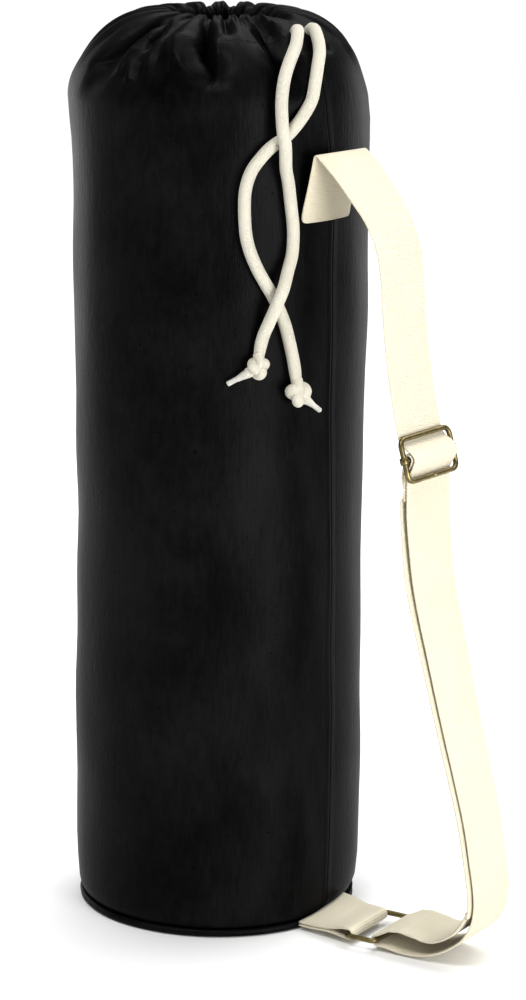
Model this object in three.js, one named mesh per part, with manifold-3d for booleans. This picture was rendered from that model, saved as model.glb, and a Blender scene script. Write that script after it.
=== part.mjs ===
// Standing drawstring bag for a rolled exercise mat: a black cotton tube with a gathered mouth, a cream
// drawcord with two knotted ends, and a cream webbing strap with a wire slider and a wire ring.
// Millimetres and degrees, +Z up. The origin is the middle of the round base, on the floor. The strap
// hangs on the +X side.
import * as THREE from 'three';
import { mergeVertices } from 'three/addons/utils/BufferGeometryUtils.js';
import Module from 'manifold-3d';

const wasm = await Module();
wasm.setup();

// Bag
const bagRadius = 100;
const bagHeight = 634.5;
const shoulderRadius = 59.5;
const cloth = 2;
const seamGap = 0.3;
const weltHeight = 4.8;
const weltWidth = 5.6;
const baseThickness = 2;
const cornerHeight = 11;
const cornerDepth = 5;
const hemRadius = 77; // where the casing's stitch line runs on the shoulder
const mouthRadius = 41; // middle of the drawcord's ring
const mouthReach = 24; // how far the mouth runs out towards the cord holes
const mouthHeading = 3;
const foldDepth = 12;
const ruffleDepth = 3.6;
const softness = 1.1; // height of the broad waves in the wall

// Drawcord
const cordDiameter = 8;
const cordClearance = 0.8;
const holeAngles = [-5.5, 5];
const holeRadius = 73; // distance of the cord holes from the bag's axis
const knotWidth = 16;
const tipDiameter = 3.8;
const tipLength = 14;

// Strap
const strapWidth = 49.5;
const webbing = 2;
const plyGap = 0.45;
const anchorHeight = 500.5; // lower edge of the end that is sewn flat on the wall
const patchLength = 46.5; // from there up to the ridge where the strap turns outward
const ridgeHeight = anchorHeight + patchLength;
const strapReach = 131.7; // how far the strap stands out from the wall near the floor
const strapAngle = 9.5; // heading of the lower strap in plan
const ridgeYaw = -8;

// Slider and ring
const sliderHeight = 352.8;
const sliderRise = 27.6;
const wire = 3.9;
const sideClearance = 0.3;
const collarWall = 0.95;
const collarGap = 0.25;
const tailLength = 28;
const ringHeight = 7.5;
const ringLength = 23;
const tabLength = 37; // from the bag's wall to the ring's inner bar
const cornerRadius = 3.5;

const BLACK_COTTON = { color: 0x1b1b1d, roughness: 0.95, metalness: 0 };
const CREAM_CORD = { color: 0xefead8, roughness: 0.9, metalness: 0 };
const CREAM_WEBBING = { color: 0xeee8d2, roughness: 0.9, metalness: 0 };
const ANTIQUE_BRASS = { color: 0x7a6a3a, roughness: 0.35, metalness: 1 };
const CLEAR_PLASTIC = { color: 0xe9e9e4, roughness: 0.2, metalness: 0 };

const rad = THREE.MathUtils.degToRad;
const smooth = (x, low, high) => THREE.MathUtils.smoothstep(x, low, high);
const polar = (deg, r, z) => new THREE.Vector3(r * Math.cos(rad(deg)), r * Math.sin(rad(deg)), z);
const bag = new THREE.Group();

function add(name, geometry, look) {
  const mesh = new THREE.Mesh(geometry, new THREE.MeshStandardMaterial(look));
  mesh.name = name;
  bag.add(mesh);
  return mesh;
}

// A closed body whose faces point outwards, from shared corners and triangles
function body(corners, faces) {
  let volume = 0;
  for (let i = 0; i < faces.length; i += 3) {
    const [a, b, c] = faces.slice(i, i + 3).map((k) => corners[k]);
    volume += a.dot(b.clone().cross(c));
  }
  const order = volume < 0 ? faces.toReversed() : faces;
  const geometry = new THREE.BufferGeometry();
  geometry.setAttribute('position', new THREE.Float32BufferAttribute(corners.flatMap((v) => v.toArray()), 3));
  geometry.setIndex(order);
  return geometry;
}

// A skin through equal outlines, one after another; a ring of them closes on itself, and an open run
// gets flat ends, whose outlines run out along one side and back along the other
function loft(outlines, closed) {
  const n = outlines[0].length;
  const faces = [];
  const quad = (p, q, r, s) => faces.push(p, q, r, p, r, s);
  const runs = closed ? outlines.length : outlines.length - 1;
  for (let i = 0; i < runs; i++) {
    const next = (i + 1) % outlines.length;
    for (let k = 0; k < n; k++) {
      quad(i * n + k, next * n + k, next * n + (k + 1) % n, i * n + (k + 1) % n);
    }
  }
  if (!closed) {
    const last = (outlines.length - 1) * n;
    for (let k = 0; k < n / 2 - 1; k++) {
      quad(k, k + 1, n - 2 - k, n - 1 - k);
      quad(last + k + 1, last + k, last + n - 1 - k, last + n - 2 - k);
    }
  }
  return body(outlines.flat(), faces);
}

// A round bar or cord along a curve
function tube(curve, diameter, sides, steps) {
  const section = new THREE.Shape();
  for (let k = 0; k < sides; k++) {
    const turn = (2 * Math.PI * (k + 0.5)) / sides;
    section[k ? 'lineTo' : 'moveTo']((diameter / 2) * Math.cos(turn), (diameter / 2) * Math.sin(turn));
  }
  return new THREE.ExtrudeGeometry(section, { steps, extrudePath: curve, bevelEnabled: false });
}

function solid(geometry) {
  const bare = geometry.clone();
  bare.deleteAttribute('normal');
  bare.deleteAttribute('uv');
  const merged = mergeVertices(bare, 1e-3);
  return new wasm.Manifold(new wasm.Mesh({
    numProp: 3,
    vertProperties: merged.attributes.position.array,
    triVerts: new Uint32Array(merged.index.array),
  }));
}

function geometryOf(manifold) {
  const mesh = manifold.getMesh();
  const geometry = new THREE.BufferGeometry();
  geometry.setAttribute('position', new THREE.BufferAttribute(new Float32Array(mesh.vertProperties), 3));
  geometry.setIndex(new THREE.BufferAttribute(new Uint32Array(mesh.triVerts), 1));
  return geometry;
}

// A round rod from one point to another, straight or tapered
function rod(from, to, radius, sides, endRadius = radius) {
  const length = from.distanceTo(to);
  const geometry = new THREE.CylinderGeometry(endRadius, radius, length, sides);
  const turn = new THREE.Quaternion().setFromUnitVectors(
    new THREE.Vector3(0, 1, 0), to.clone().sub(from).normalize());
  geometry.applyQuaternion(turn);
  const middle = from.clone().add(to).multiplyScalar(0.5);
  return geometry.translate(middle.x, middle.y, middle.z);
}

// Shoulder: a quarter circle that turns the upright wall into the flat top round the mouth.
// Its turn is 0 degrees at the top and 90 at the wall.
const shoulderBase = bagHeight - shoulderRadius;
const topRadius = bagRadius - shoulderRadius;
const wallBase = weltHeight + seamGap;
const turnAt = (r) => THREE.MathUtils.radToDeg(Math.asin(Math.max(0, (r - topRadius) / shoulderRadius)));
const shoulderLength = (Math.PI / 2) * shoulderRadius;
const hemTurn = turnAt(hemRadius);

// A place on the bag's outside by turn, or by height on the upright wall, and the way it faces
function onShoulder(turn, r = topRadius + shoulderRadius * Math.sin(rad(turn))) {
  return {
    r, z: shoulderBase + shoulderRadius * Math.cos(rad(turn)), share: turn / 90,
    out: Math.sin(rad(turn)), up: Math.cos(rad(turn)),
  };
}

function onWall(z) {
  const low = Math.max(0, 1 - (z - wallBase) / cornerHeight);
  const r = bagRadius - cornerDepth * (1 - Math.sqrt(1 - low * low));
  return { r, z, share: 1 + (shoulderBase - z) / shoulderLength, out: 1, up: 0 };
}

// Folds, one row each, going round: angle at the mouth, angle at the foot of the shoulder, how tightly
// the mouth is pinched there, share of the fold depth, and how far down the shoulder the fold reaches
const folds = [
  { rim: -60, foot: -54, pinch: 1, depth: 0.95, ends: 1.0 },
  { rim: -44, foot: -41, pinch: 1, depth: 0.5, ends: 0.6 },
  { rim: -32, foot: -30, pinch: 0.8, depth: 0.35, ends: 0.55 },
  { rim: -21, foot: -19, pinch: 1, depth: 0.8, ends: 0.95 },
  { rim: -10, foot: -9, pinch: 0.1, depth: 0, ends: 0.5 },
  { rim: 0, foot: 0, pinch: 0, depth: 0, ends: 0.5 },
  { rim: 11, foot: 12, pinch: 0.1, depth: 0, ends: 0.5 },
  { rim: 24, foot: 27, pinch: 0.6, depth: 0.5, ends: 0.8 },
  { rim: 41, foot: 46, pinch: 1, depth: 0.7, ends: 1.0 },
  { rim: 60, foot: 66, pinch: 1, depth: 0.55, ends: 0.85 },
  { rim: 80, foot: 86, pinch: 1, depth: 0.75, ends: 1.05 },
  { rim: 101, foot: 107, pinch: 1, depth: 0.5, ends: 0.8 },
  { rim: 122, foot: 128, pinch: 1, depth: 0.7, ends: 0.95 },
  { rim: 144, foot: 148, pinch: 1, depth: 0.6, ends: 0.85 },
  { rim: 166, foot: 168, pinch: 1, depth: 0.8, ends: 1.05 },
  { rim: 188, foot: 187, pinch: 1, depth: 0.55, ends: 0.8 },
  { rim: 209, foot: 203, pinch: 1, depth: 0.7, ends: 1.0 },
  { rim: 230, foot: 217, pinch: 1, depth: 0.5, ends: 0.9 },
  { rim: 252, foot: 231, pinch: 1, depth: 0.45, ends: 0.8 },
  { rim: 272, foot: 249, pinch: 1, depth: 0.85, ends: 1.05 },
  { rim: 286, foot: 277, pinch: 1, depth: 0.55, ends: 0.8 },
];
const quarters = [0, 0.25, 0.5, 0.75]; // columns between one fold's bottom and the next
const creaseSharpness = 1.25;
const growLength = 0.3;
const fadeLength = 0.5;

// How deep one fold presses in at a share of the way down, from the mouth's ring on
function pressed(fold, share, start) {
  const grown = smooth(share, start, start + growLength);
  const left = 1 - smooth(share, fold.ends - fadeLength, fold.ends);
  return (ruffleDepth * fold.pinch * (1 - grown) + foldDepth * fold.depth * grown) * left;
}

// Broad soft waves of the standing wall
function waves(deg, z) {
  const rise = z / bagHeight;
  const held = smooth(rise, 0.02, 0.12);
  const broad = Math.sin(rad(2 * deg + 420 * rise + 12)) + 0.7 * Math.sin(rad(3 * deg + 150 * rise + 139));
  return softness * held * broad;
}

// The mouth's drawcord ring: how far from the axis its top stands, and the cord's own middle
const ruffleReach = cordDiameter / 2 + cordClearance + cloth;
const mouthSpread = 17; // degrees
function ringTop(deg) {
  const aside = THREE.MathUtils.euclideanModulo(deg - mouthHeading + 180, 360) - 180;
  return mouthRadius + mouthReach * Math.exp(-((aside / mouthSpread) ** 2));
}
function ringMiddle(deg) {
  const top = onShoulder(turnAt(ringTop(deg)), ringTop(deg));
  const drop = ruffleReach + ruffleDepth;
  return { top, r: top.r - drop * top.out, z: top.z - drop * top.up };
}

// The outline of the bag's cloth in one upright plane: up the outside, over the cord, back under it to
// the casing's hem, over the hem and down the inside
const cornerShares = [0, 0.25, 1];
const wallShares = [0.32, 0.62, 0.86];
const shoulderTurns = [90, 77, 64, 51, hemTurn];
const casingShares = [1 / 3, 2 / 3];
const ringTurns = [0, 45, 90, 135, 180];

function bagOutline(first, second, quarter) {
  const between = (a, b) => THREE.MathUtils.lerp(a, b, quarter);
  const round = second.rim < first.rim ? 360 : 0;
  const rim = between(first.rim, second.rim + round);
  const foot = between(first.foot, second.foot + round);
  const fold = quarter <= 0.5 ? first : second;
  const weight = ((1 + Math.cos(2 * Math.PI * quarter)) / 2) ** creaseSharpness;
  const angle = (share) => THREE.MathUtils.lerp(rim, foot, Math.min(1, share));
  const ring = ringMiddle(rim);
  const ringTurn = turnAt(ring.top.r);
  const bulge = ruffleDepth * (1 - weight * fold.pinch);

  const place = (spot, inset) => {
    const deg = angle(spot.share);
    const press = weight * pressed(fold, spot.share, ringTurn / 90) + inset;
    const r = spot.r - press * spot.out + waves(deg, spot.z) * smooth(spot.share, 0.5, 1);
    return polar(deg, r, spot.z - press * spot.up);
  };
  const onRing = (turn, reach) => {
    const tilt = rad(90 - ringTurn + turn);
    return polar(rim, ring.r + reach * Math.cos(tilt), ring.z + reach * Math.sin(tilt));
  };
  const tunnel = 2 * (cordDiameter / 2 + cordClearance + bulge);
  const wall = [
    ...cornerShares.map((s) => onWall(wallBase + s * cornerHeight)),
    ...wallShares.map((s) => onWall(wallBase + s * (shoulderBase - wallBase))),
  ];
  const shoulder = shoulderTurns.map((turn) => onShoulder(turn));
  const casing = casingShares.map((s) => onShoulder(THREE.MathUtils.lerp(hemTurn, ringTurn, s)));
  const opening = casingShares.map((s) => seamGap + (tunnel - seamGap) * Math.sin((s * Math.PI) / 2));
  const outside = [...wall, ...shoulder, ...casing];
  const hem = onShoulder(hemTurn);
  const ply = (inset) => casing.map((spot, i) => place(spot, inset + opening[i]));
  return [
    ...outside.map((spot) => place(spot, 0)),
    ...ringTurns.map((turn) => onRing(turn, ruffleReach + bulge)),
    ...ply(2 * cloth).reverse(),
    place(hem, 2 * cloth + seamGap),
    place(hem, cloth + seamGap),
    ...ply(cloth),
    ...ringTurns.map((turn) => onRing(turn, ruffleReach + bulge - cloth)).reverse(),
    ...outside.map((spot) => place(spot, cloth)).reverse(),
  ];
}

// Where a free cord end leaves the casing: on the shoulder, heading out and a little upwards
const exitRise = 12;
const holeCut = 11;
const hiddenEnd = 6.8; // how far inside the cloth the cord's hidden stretch ends
const hiddenLead = 6;
function cordHole(deg) {
  const spot = onShoulder(turnAt(holeRadius));
  const middle = polar(deg, spot.r, spot.z);
  const way = polar(deg, Math.cos(rad(exitRise)), Math.sin(rad(exitRise)));
  return (distance) => middle.clone().addScaledVector(way, distance);
}

function bagBody() {
  const outlines = folds.flatMap((fold, i) =>
    quarters.map((quarter) => bagOutline(fold, folds[(i + 1) % folds.length], quarter)));
  let cut = solid(loft(outlines, true));
  for (const deg of holeAngles) {
    const hole = cordHole(deg);
    cut = cut.subtract(solid(rod(hole(-holeCut), hole(holeCut), cordDiameter / 2 + cordClearance, 12)));
  }
  add('bag_body', geometryOf(cut), BLACK_COTTON);
}

function lathe(name, profile, look) {
  const outline = profile.map(([r, z]) => new THREE.Vector2(r, z));
  add(name, new THREE.LatheGeometry(outline, 42).rotateX(Math.PI / 2), look);
}

function base() {
  const outer = bagRadius - seamGap;
  const inner = outer - weltWidth;
  const soften = weltHeight * 0.3;
  lathe('base_panel', [[0, 0], [inner - seamGap, 0], [inner - seamGap, baseThickness], [0, baseThickness]],
    BLACK_COTTON);
  lathe('base_welt', [
    [inner, 0], [outer - soften, 0], [outer, soften], [outer, weltHeight - soften],
    [outer - soften, weltHeight], [inner, weltHeight], [inner, 0],
  ], BLACK_COTTON);
}

// The cord's hidden stretch: from the left hole, round the mouth behind the bag, to the right hole
function hiddenCord() {
  const [left, right] = holeAngles.map(cordHole);
  const points = [left(-hiddenEnd), left(-hiddenEnd - hiddenLead)];
  for (let deg = mouthHeading - 11; deg >= mouthHeading + 11 - 360; deg -= 6.5) {
    const spot = ringMiddle(deg);
    points.push(polar(deg, spot.r, spot.z));
  }
  points.push(right(-hiddenEnd - hiddenLead), right(-hiddenEnd));
  return tube(new THREE.CatmullRomCurve3(points, false, 'centripetal'), cordDiameter, 8, 44);
}

// Free cord ends: angle round the bag, distance from its axis and height of chosen points, from the
// hole, over the shoulder and down the wall to the knot; the left end passes over the right one twice
const leftEnd = [
  [-5.5, 67.4, 623.7], [-5.5, 71, 624.5], [-6.2, 75.5, 626.2], [-8.4, 79.8, 626.8], [-11.4, 84.3, 623],
  [-14.3, 88.8, 617.9], [-17.4, 92.6, 612.9], [-20.3, 96.2, 607.6], [-23.1, 100, 600], [-24.8, 102.9, 592.5],
  [-25.8, 105.2, 581.6], [-26.3, 108.2, 571], [-26.6, 112, 562], [-26.3, 114, 556], [-25.9, 113, 548],
  [-25, 109.5, 539.5], [-23.2, 106.4, 528.5], [-21.7, 104.9, 513], [-20.8, 104.9, 500], [-20.7, 104.9, 490],
  [-21.5, 105.9, 480], [-23.6, 108.4, 471], [-26.3, 113, 460], [-28, 114.3, 453.5], [-29.6, 113, 445],
  [-31, 109, 435.5], [-32.6, 106.2, 426], [-33.9, 106, 414.6],
];
const rightEnd = [
  [5, 67.4, 623.7], [5, 71, 624.5], [4.4, 75.6, 626.2], [2.4, 80.5, 625.9], [0.4, 84.6, 622.8],
  [-1.6, 89, 618], [-4.1, 93.7, 611.9], [-7.9, 98.7, 603.5], [-11.2, 102.9, 592], [-13.3, 104.9, 583],
  [-16.8, 104.9, 573.4], [-20.8, 104.9, 565.2], [-24.4, 104.9, 559.3], [-30, 104.9, 552.9],
  [-33.6, 104.9, 546.3], [-36.6, 104.9, 539.2], [-38.3, 104.9, 532], [-39.3, 104.9, 523.5],
  [-39.5, 104.9, 514], [-39.3, 104.9, 503.5], [-38.7, 104.9, 493.5], [-37.2, 104.9, 483.5],
  [-34.6, 104.9, 472.5], [-31.6, 104.9, 462.5], [-28.9, 104.9, 454.3], [-26.2, 104.9, 444.5],
  [-23.7, 104.9, 433.3], [-21.6, 104.9, 419.4], [-19.9, 105, 405.5], [-19.3, 106, 395.6],
];
// Knots and tips: the knot's middle and the tip's far end
const leftKnot = { middle: [-34.4, 108.3, 406.2], tip: [-45.4, 103.8, 394.6] };
const rightKnot = { middle: [-19.1, 108.3, 387.2], tip: [-7.6, 103.8, 371.6] };

function cordEnd(name, route, steps) {
  const curve = new THREE.CatmullRomCurve3(route.map((p) => polar(...p)), false, 'centripetal');
  add(`drawcord_end_${name}`, tube(curve, cordDiameter, 8, steps), CREAM_CORD);
}

// An overhand knot's outer form, a ball with three lobes, and the tapered tip that leaves it
const knotLobe = 0.06;
const knotFlatness = 0.78;
function knot(name, { middle, tip }) {
  const centre = polar(...middle);
  const ball = new THREE.SphereGeometry(knotWidth / 2, 12, 8);
  const points = ball.attributes.position;
  for (let i = 0; i < points.count; i++) {
    const [x, y, z] = [points.getX(i), points.getY(i), points.getZ(i)];
    const lobe = 1 + knotLobe * Math.sin(3 * Math.atan2(y, z)) * (1 - (2 * x / knotWidth) ** 2);
    points.setXYZ(i, x * knotFlatness, y * lobe, z * lobe);
  }
  add(`knot_${name}`, ball.rotateZ(rad(middle[0])).translate(...centre.toArray()), CREAM_CORD);

  const way = polar(...tip).sub(centre).normalize();
  const start = centre.clone().addScaledVector(way, knotWidth / 2 + 2 * plyGap);
  const end = start.clone().addScaledVector(way, tipLength);
  add(`tip_${name}`, rod(start, end, tipDiameter * 0.75, 8, tipDiameter / 2), CLEAR_PLASTIC);
}

// The hanging strap's middle line from the ridge to the ring, as if the slider didn't lift it: share of
// the reach beyond the wall, share of the ridge height, and share of the width to the side
const strapRun = [
  { out: 0.129, up: 0.999, aside: -0.05 }, { out: 0.169, up: 0.990, aside: -0.05 },
  { out: 0.245, up: 0.973, aside: -0.05 }, { out: 0.328, up: 0.947, aside: -0.05 },
  { out: 0.386, up: 0.931, aside: -0.045 }, { out: 0.437, up: 0.913, aside: -0.04 },
  { out: 0.467, up: 0.898, aside: -0.03 }, { out: 0.483, up: 0.879, aside: -0.02 },
  { out: 0.490, up: 0.856, aside: 0.005 }, { out: 0.491, up: 0.823, aside: 0.03 },
  { out: 0.494, up: 0.786, aside: 0.06 }, { out: 0.503, up: 0.746, aside: 0.095 },
  { out: 0.522, up: 0.704, aside: 0.13 }, { out: 0.549, up: 0.668, aside: 0.157 },
  { out: 0.576, up: 0.643, aside: 0.168 }, { out: 0.603, up: 0.619, aside: 0.179 },
  { out: 0.606, up: 0.594, aside: 0.18 }, { out: 0.608, up: 0.570, aside: 0.18 },
  { out: 0.617, up: 0.545, aside: 0.182 }, { out: 0.654, up: 0.475, aside: 0.201 },
  { out: 0.733, up: 0.388, aside: 0.236 }, { out: 0.819, up: 0.300, aside: 0.274 },
  { out: 0.885, up: 0.241, aside: 0.304 }, { out: 0.948, up: 0.185, aside: 0.332 },
  { out: 0.984, up: 0.137, aside: 0.348 }, { out: 1.000, up: 0.106, aside: 0.355 },
  { out: 1.000, up: 0.082, aside: 0.355 }, { out: 0.980, up: 0.060, aside: 0.346 },
  { out: 0.938, up: 0.039, aside: 0.327 }, { out: 0.865, up: 0.021, aside: 0.295 },
  { out: 0.772, up: 0.0095, aside: 0.254 }, { out: 0.673, up: 0.0040, aside: 0.21 },
  { out: 0.581, up: 0.0035, aside: 0.169 },
];
// Where the strap's loft has its stations, as shares of the way from the ridge to the slider and from
// the slider to the ring
const upperStations = [0, 0.035, 0.1, 0.165, 0.22, 0.27, 0.32, 0.38, 0.46, 0.56, 0.68, 0.8, 0.88];
const lowerStations = [0.12, 0.2, 0.3, 0.4, 0.5, 0.6, 0.68, 0.74, 0.77, 0.8, 0.83, 0.86, 0.9, 0.93, 0.96, 0.98];
const sliderStations = [1.4, 1, 0.8, 0.65, 0.5, 0.35, 0.2, 0, -0.2, -0.35, -0.5, -0.65, -0.8, -1, -1.4];
// How far the returning inner run lies from the outer one: share of the way from slider to ring, and
// distance in thicknesses
const innerSpacing = [
  [0.07, 2.45], [0.13, 2.1], [0.35, 1.6], [0.63, 1.35], [0.735, 1.4], [0.767, 2], [0.797, 3], [0.829, 3.5],
  [0.862, 4], [0.896, 5.25], [0.929, 7], [0.959, 7.5], [0.98, 6.5],
];

// Wire middles of the ring's two long bars, and the webbing's way round a wire
const wrapRadius = wire / 2 + plyGap + webbing / 2;
const ringWay = polar(strapAngle, 1, 0);
const ringSide = polar(strapAngle + 90, 1, 0);
const up = new THREE.Vector3(0, 0, 1);
const innerBar = new THREE.Vector3(bagRadius + tabLength, 0.025 * strapWidth, ringHeight);
const outerBar = innerBar.clone().addScaledVector(ringWay, ringLength);

// A stretch of webbing through stations of middle, width direction and facing, where a bow bends the
// strap round the wall
function webbingLoft(stations) {
  return loft(stations.map(({ at, side, face, bow = 0 }) => {
    const across = [-0.5, 0, 0.5].map((share) => {
      const w = share * strapWidth;
      const sag = bow * (Math.sqrt(bagRadius ** 2 - w ** 2) - bagRadius);
      return at.clone().addScaledVector(side, w).add(new THREE.Vector3(sag, 0, 0));
    });
    const front = across.map((p) => p.clone().addScaledVector(face, webbing / 2));
    const back = across.map((p) => p.clone().addScaledVector(face, -webbing / 2));
    return [...front, ...back.reverse()];
  }), false);
}

// A bowed strap's straight stretches cut inside the round wall by this much
const bowSag = bagRadius - Math.sqrt(bagRadius ** 2 - (strapWidth / 4) ** 2);
const sideOf = (yaw) => polar(yaw + 90, 1, 0);
const turned = (toward, turn, start) => toward.clone().multiplyScalar(Math.sin(rad(turn)))
  .addScaledVector(start, Math.cos(rad(turn)));

// The strap's middle line by distance from the ridge, with its width direction and the way it faces
const yawLength = 0.42 * ridgeHeight; // the strap's twist ends this far below the ridge
function guideLine() {
  const rows = strapRun.map((row) =>
    new THREE.Vector3(bagRadius + row.out * strapReach, row.aside * strapWidth, row.up * ridgeHeight));
  const under = outerBar.clone().addScaledVector(up, -wrapRadius);
  const before = under.clone().addScaledVector(ringWay, 2 * wire).addScaledVector(up, -webbing / 3);
  const curve = new THREE.CatmullRomCurve3([...rows, before, under], false, 'centripetal');
  curve.arcLengthDivisions = 1200;
  const length = curve.getLength();
  const spot = (distance, lift = 0) => {
    const share = THREE.MathUtils.clamp(distance / length, 0, 1);
    const middle = curve.getPointAt(share);
    const twist = smooth(ridgeHeight - middle.z, 0, yawLength);
    const side = sideOf(THREE.MathUtils.lerp(ridgeYaw, strapAngle, twist));
    const face = curve.getTangentAt(share).cross(side).normalize();
    return { at: middle.addScaledVector(face, lift), side, face };
  };
  let sliderAt = 0;
  while (curve.getPointAt(sliderAt / length).z > sliderHeight) sliderAt += webbing / 8;
  return { spot, sliderAt, below: length - sliderAt };
}
const guide = guideLine();

// The slider lies in front of that line. The outer run goes behind its two outer bars and over the
// centre bar, where it also covers the turned end of the inner run.
const barRise = sliderRise / 2;
const barLift = wire / 2 + webbing / 2 + plyGap;
const spacing = webbing + plyGap;
const bumpHeight = barLift + wrapRadius + spacing;
const lift = (v) => (Math.abs(v) < barRise ? bumpHeight * Math.cos((Math.PI * v) / (2 * barRise)) ** 2 : 0);
const steepness = (v) => lift(v + 0.5) - lift(v - 0.5);
const sliderSpot = guide.spot(guide.sliderAt);
const sliderUp = sliderSpot.face.clone().cross(sliderSpot.side);
const inSlider = (v, w, n) => sliderSpot.at.clone().addScaledVector(sliderUp, v)
  .addScaledVector(sliderSpot.side, w).addScaledVector(sliderSpot.face, n);

// One run over the bump, at a height above the slider's middle and a distance under the outer run
function overBump(v, under) {
  const steep = steepness(v);
  const { at, face } = guide.spot(guide.sliderAt - v, lift(v) - under * Math.hypot(1, steep));
  return { at, side: sliderSpot.side, face: face.addScaledVector(sliderUp, -steep).normalize() };
}

function strap() {
  const stations = [];
  const ridge = guide.spot(0);

  // Sewn end, flat on the wall, then leaning out to the fold at the ridge
  const ridgeWay = polar(ridgeYaw, 1, 0);
  const foldMiddle = ridge.at.clone().addScaledVector(ridge.face, -webbing);
  const leanTurn = -53;
  const foldStart = foldMiddle.clone().addScaledVector(turned(ridgeWay, leanTurn, up), webbing);
  const wallTop = Math.max(...[-14, -7, 0, 7, 14].map((deg) => waves(deg, anchorHeight)));
  const stand = bagRadius + wallTop + seamGap + webbing / 2 + bowSag;
  for (const [rise, out, bow] of [[0, 0, 1], [0.32, 0.02, 1], [0.68, 0.3, 0.5], [0.86, 0.68, 0.2]]) {
    const at = new THREE.Vector3(THREE.MathUtils.lerp(stand, foldStart.x, out), foldStart.y,
      THREE.MathUtils.lerp(anchorHeight, foldStart.z, rise));
    const side = sideOf(ridgeYaw * rise);
    stations.push({ at, side, face: new THREE.Vector3(-1, 0, 0), bow });
  }
  for (const turn of [leanTurn, -28, -4, 20, 42]) {
    const face = turned(ridgeWay, turn, up);
    stations.push({ at: foldMiddle.clone().addScaledVector(face, webbing), side: sideOf(ridgeYaw), face });
  }

  // Down the outside, over the slider's centre bar, to the floor and round the ring's outer bar
  upperStations.forEach((share) => stations.push(guide.spot(share * guide.sliderAt)));
  sliderStations.forEach((share) => stations.push(overBump(share * barRise, 0)));
  lowerStations.forEach((share) => stations.push(guide.spot(guide.sliderAt + share * guide.below)));
  for (const turn of [0, 36, 72, 108, 144, 180]) {
    const face = turned(ringWay.clone().negate(), turn, up.clone().negate());
    stations.push({ at: outerBar.clone().addScaledVector(face, wrapRadius), side: ringSide, face });
  }

  // Back up behind the outer run, then over the centre bar and down again between the two runs
  for (const [share, thicknesses] of innerSpacing.toReversed()) {
    const { at, side, face } = guide.spot(guide.sliderAt + share * guide.below, -thicknesses * webbing);
    stations.push({ at, side, face: face.negate() });
  }
  for (const [v, deep] of [[-1.4, 1], [-1, 1], [-0.7, 0.85], [-0.4, 0.45], [-0.15, 0.1]]) {
    const face = sliderSpot.face.clone().negate();
    stations.push({ at: inSlider(v * barRise, 0, -2 * spacing * deep), side: sliderSpot.side, face });
  }
  for (const turn of [20, 55, 90, 125, 155]) {
    const face = turned(sliderUp, turn, sliderSpot.face.clone().negate());
    stations.push({ at: inSlider(0, 0, barLift).addScaledVector(face, wrapRadius), side: sliderSpot.side, face });
  }
  for (const v of [0, -0.12, -0.25, -0.38, -0.52, -0.66, -0.8, -1, -1.4, -tailLength / barRise]) {
    stations.push(overBump(v * barRise, spacing));
  }
  add('strap_webbing', webbingLoft(stations), CREAM_WEBBING);
}

// A wire bent to a rectangle with rounded corners, whose ends meet in the middle of one long side
function wireFrame(at, halfWidth, halfRise) {
  const path = new THREE.CurvePath();
  const line = (a, b) => path.add(new THREE.LineCurve3(at(...a), at(...b)));
  const bend = (a, corner, b) => path.add(new THREE.QuadraticBezierCurve3(at(...a), at(...corner), at(...b)));
  const [w, h, c, j] = [halfWidth, halfRise, cornerRadius, seamGap / 2];
  line([j, -h], [w - c, -h]);
  bend([w - c, -h], [w, -h], [w, -h + c]);
  line([w, -h + c], [w, h - c]);
  bend([w, h - c], [w, h], [w - c, h]);
  line([w - c, h], [-w + c, h]);
  bend([-w + c, h], [-w, h], [-w, h - c]);
  line([-w, h - c], [-w, -h + c]);
  bend([-w, -h + c], [-w, -h], [-w + c, -h]);
  line([-w + c, -h], [-j, -h]);
  return path;
}

function slider() {
  const collarRadius = wire / 2 + collarGap + collarWall;
  const halfFrame = strapWidth / 2 + sideClearance + collarRadius;
  const place = (w, v) => inSlider(v, w, barLift);
  add('slider_frame', tube(wireFrame(place, halfFrame, barRise), wire, 6, 42), ANTIQUE_BRASS);

  // Centre bar, whose flattened ends are bent round the frame's sides
  const collarRise = wire * 0.6;
  let bar = solid(rod(place(-halfFrame, 0), place(halfFrame, 0), wire / 2, 8));
  for (const side of [-1, 1]) {
    const ends = [-1, 1].map((v) => place(side * halfFrame, v * collarRise));
    bar = bar.add(solid(rod(...ends, collarRadius, 12)));
  }
  for (const side of [-1, 1]) {
    const ends = [-1, 1].map((v) => place(side * halfFrame, v * 2 * collarRise));
    bar = bar.subtract(solid(rod(...ends, wire / 2 + collarGap, 12)));
  }
  add('slider_bar', geometryOf(bar), ANTIQUE_BRASS);
}

function ring() {
  const middle = innerBar.clone().add(outerBar).multiplyScalar(0.5);
  const place = (w, v) => middle.clone().addScaledVector(ringSide, w).addScaledVector(ringWay, v);
  const half = strapWidth / 2 + 2 * sideClearance + wire / 2;
  add('ring', tube(wireFrame(place, half, ringLength / 2), wire, 6, 38), ANTIQUE_BRASS);
}

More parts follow.
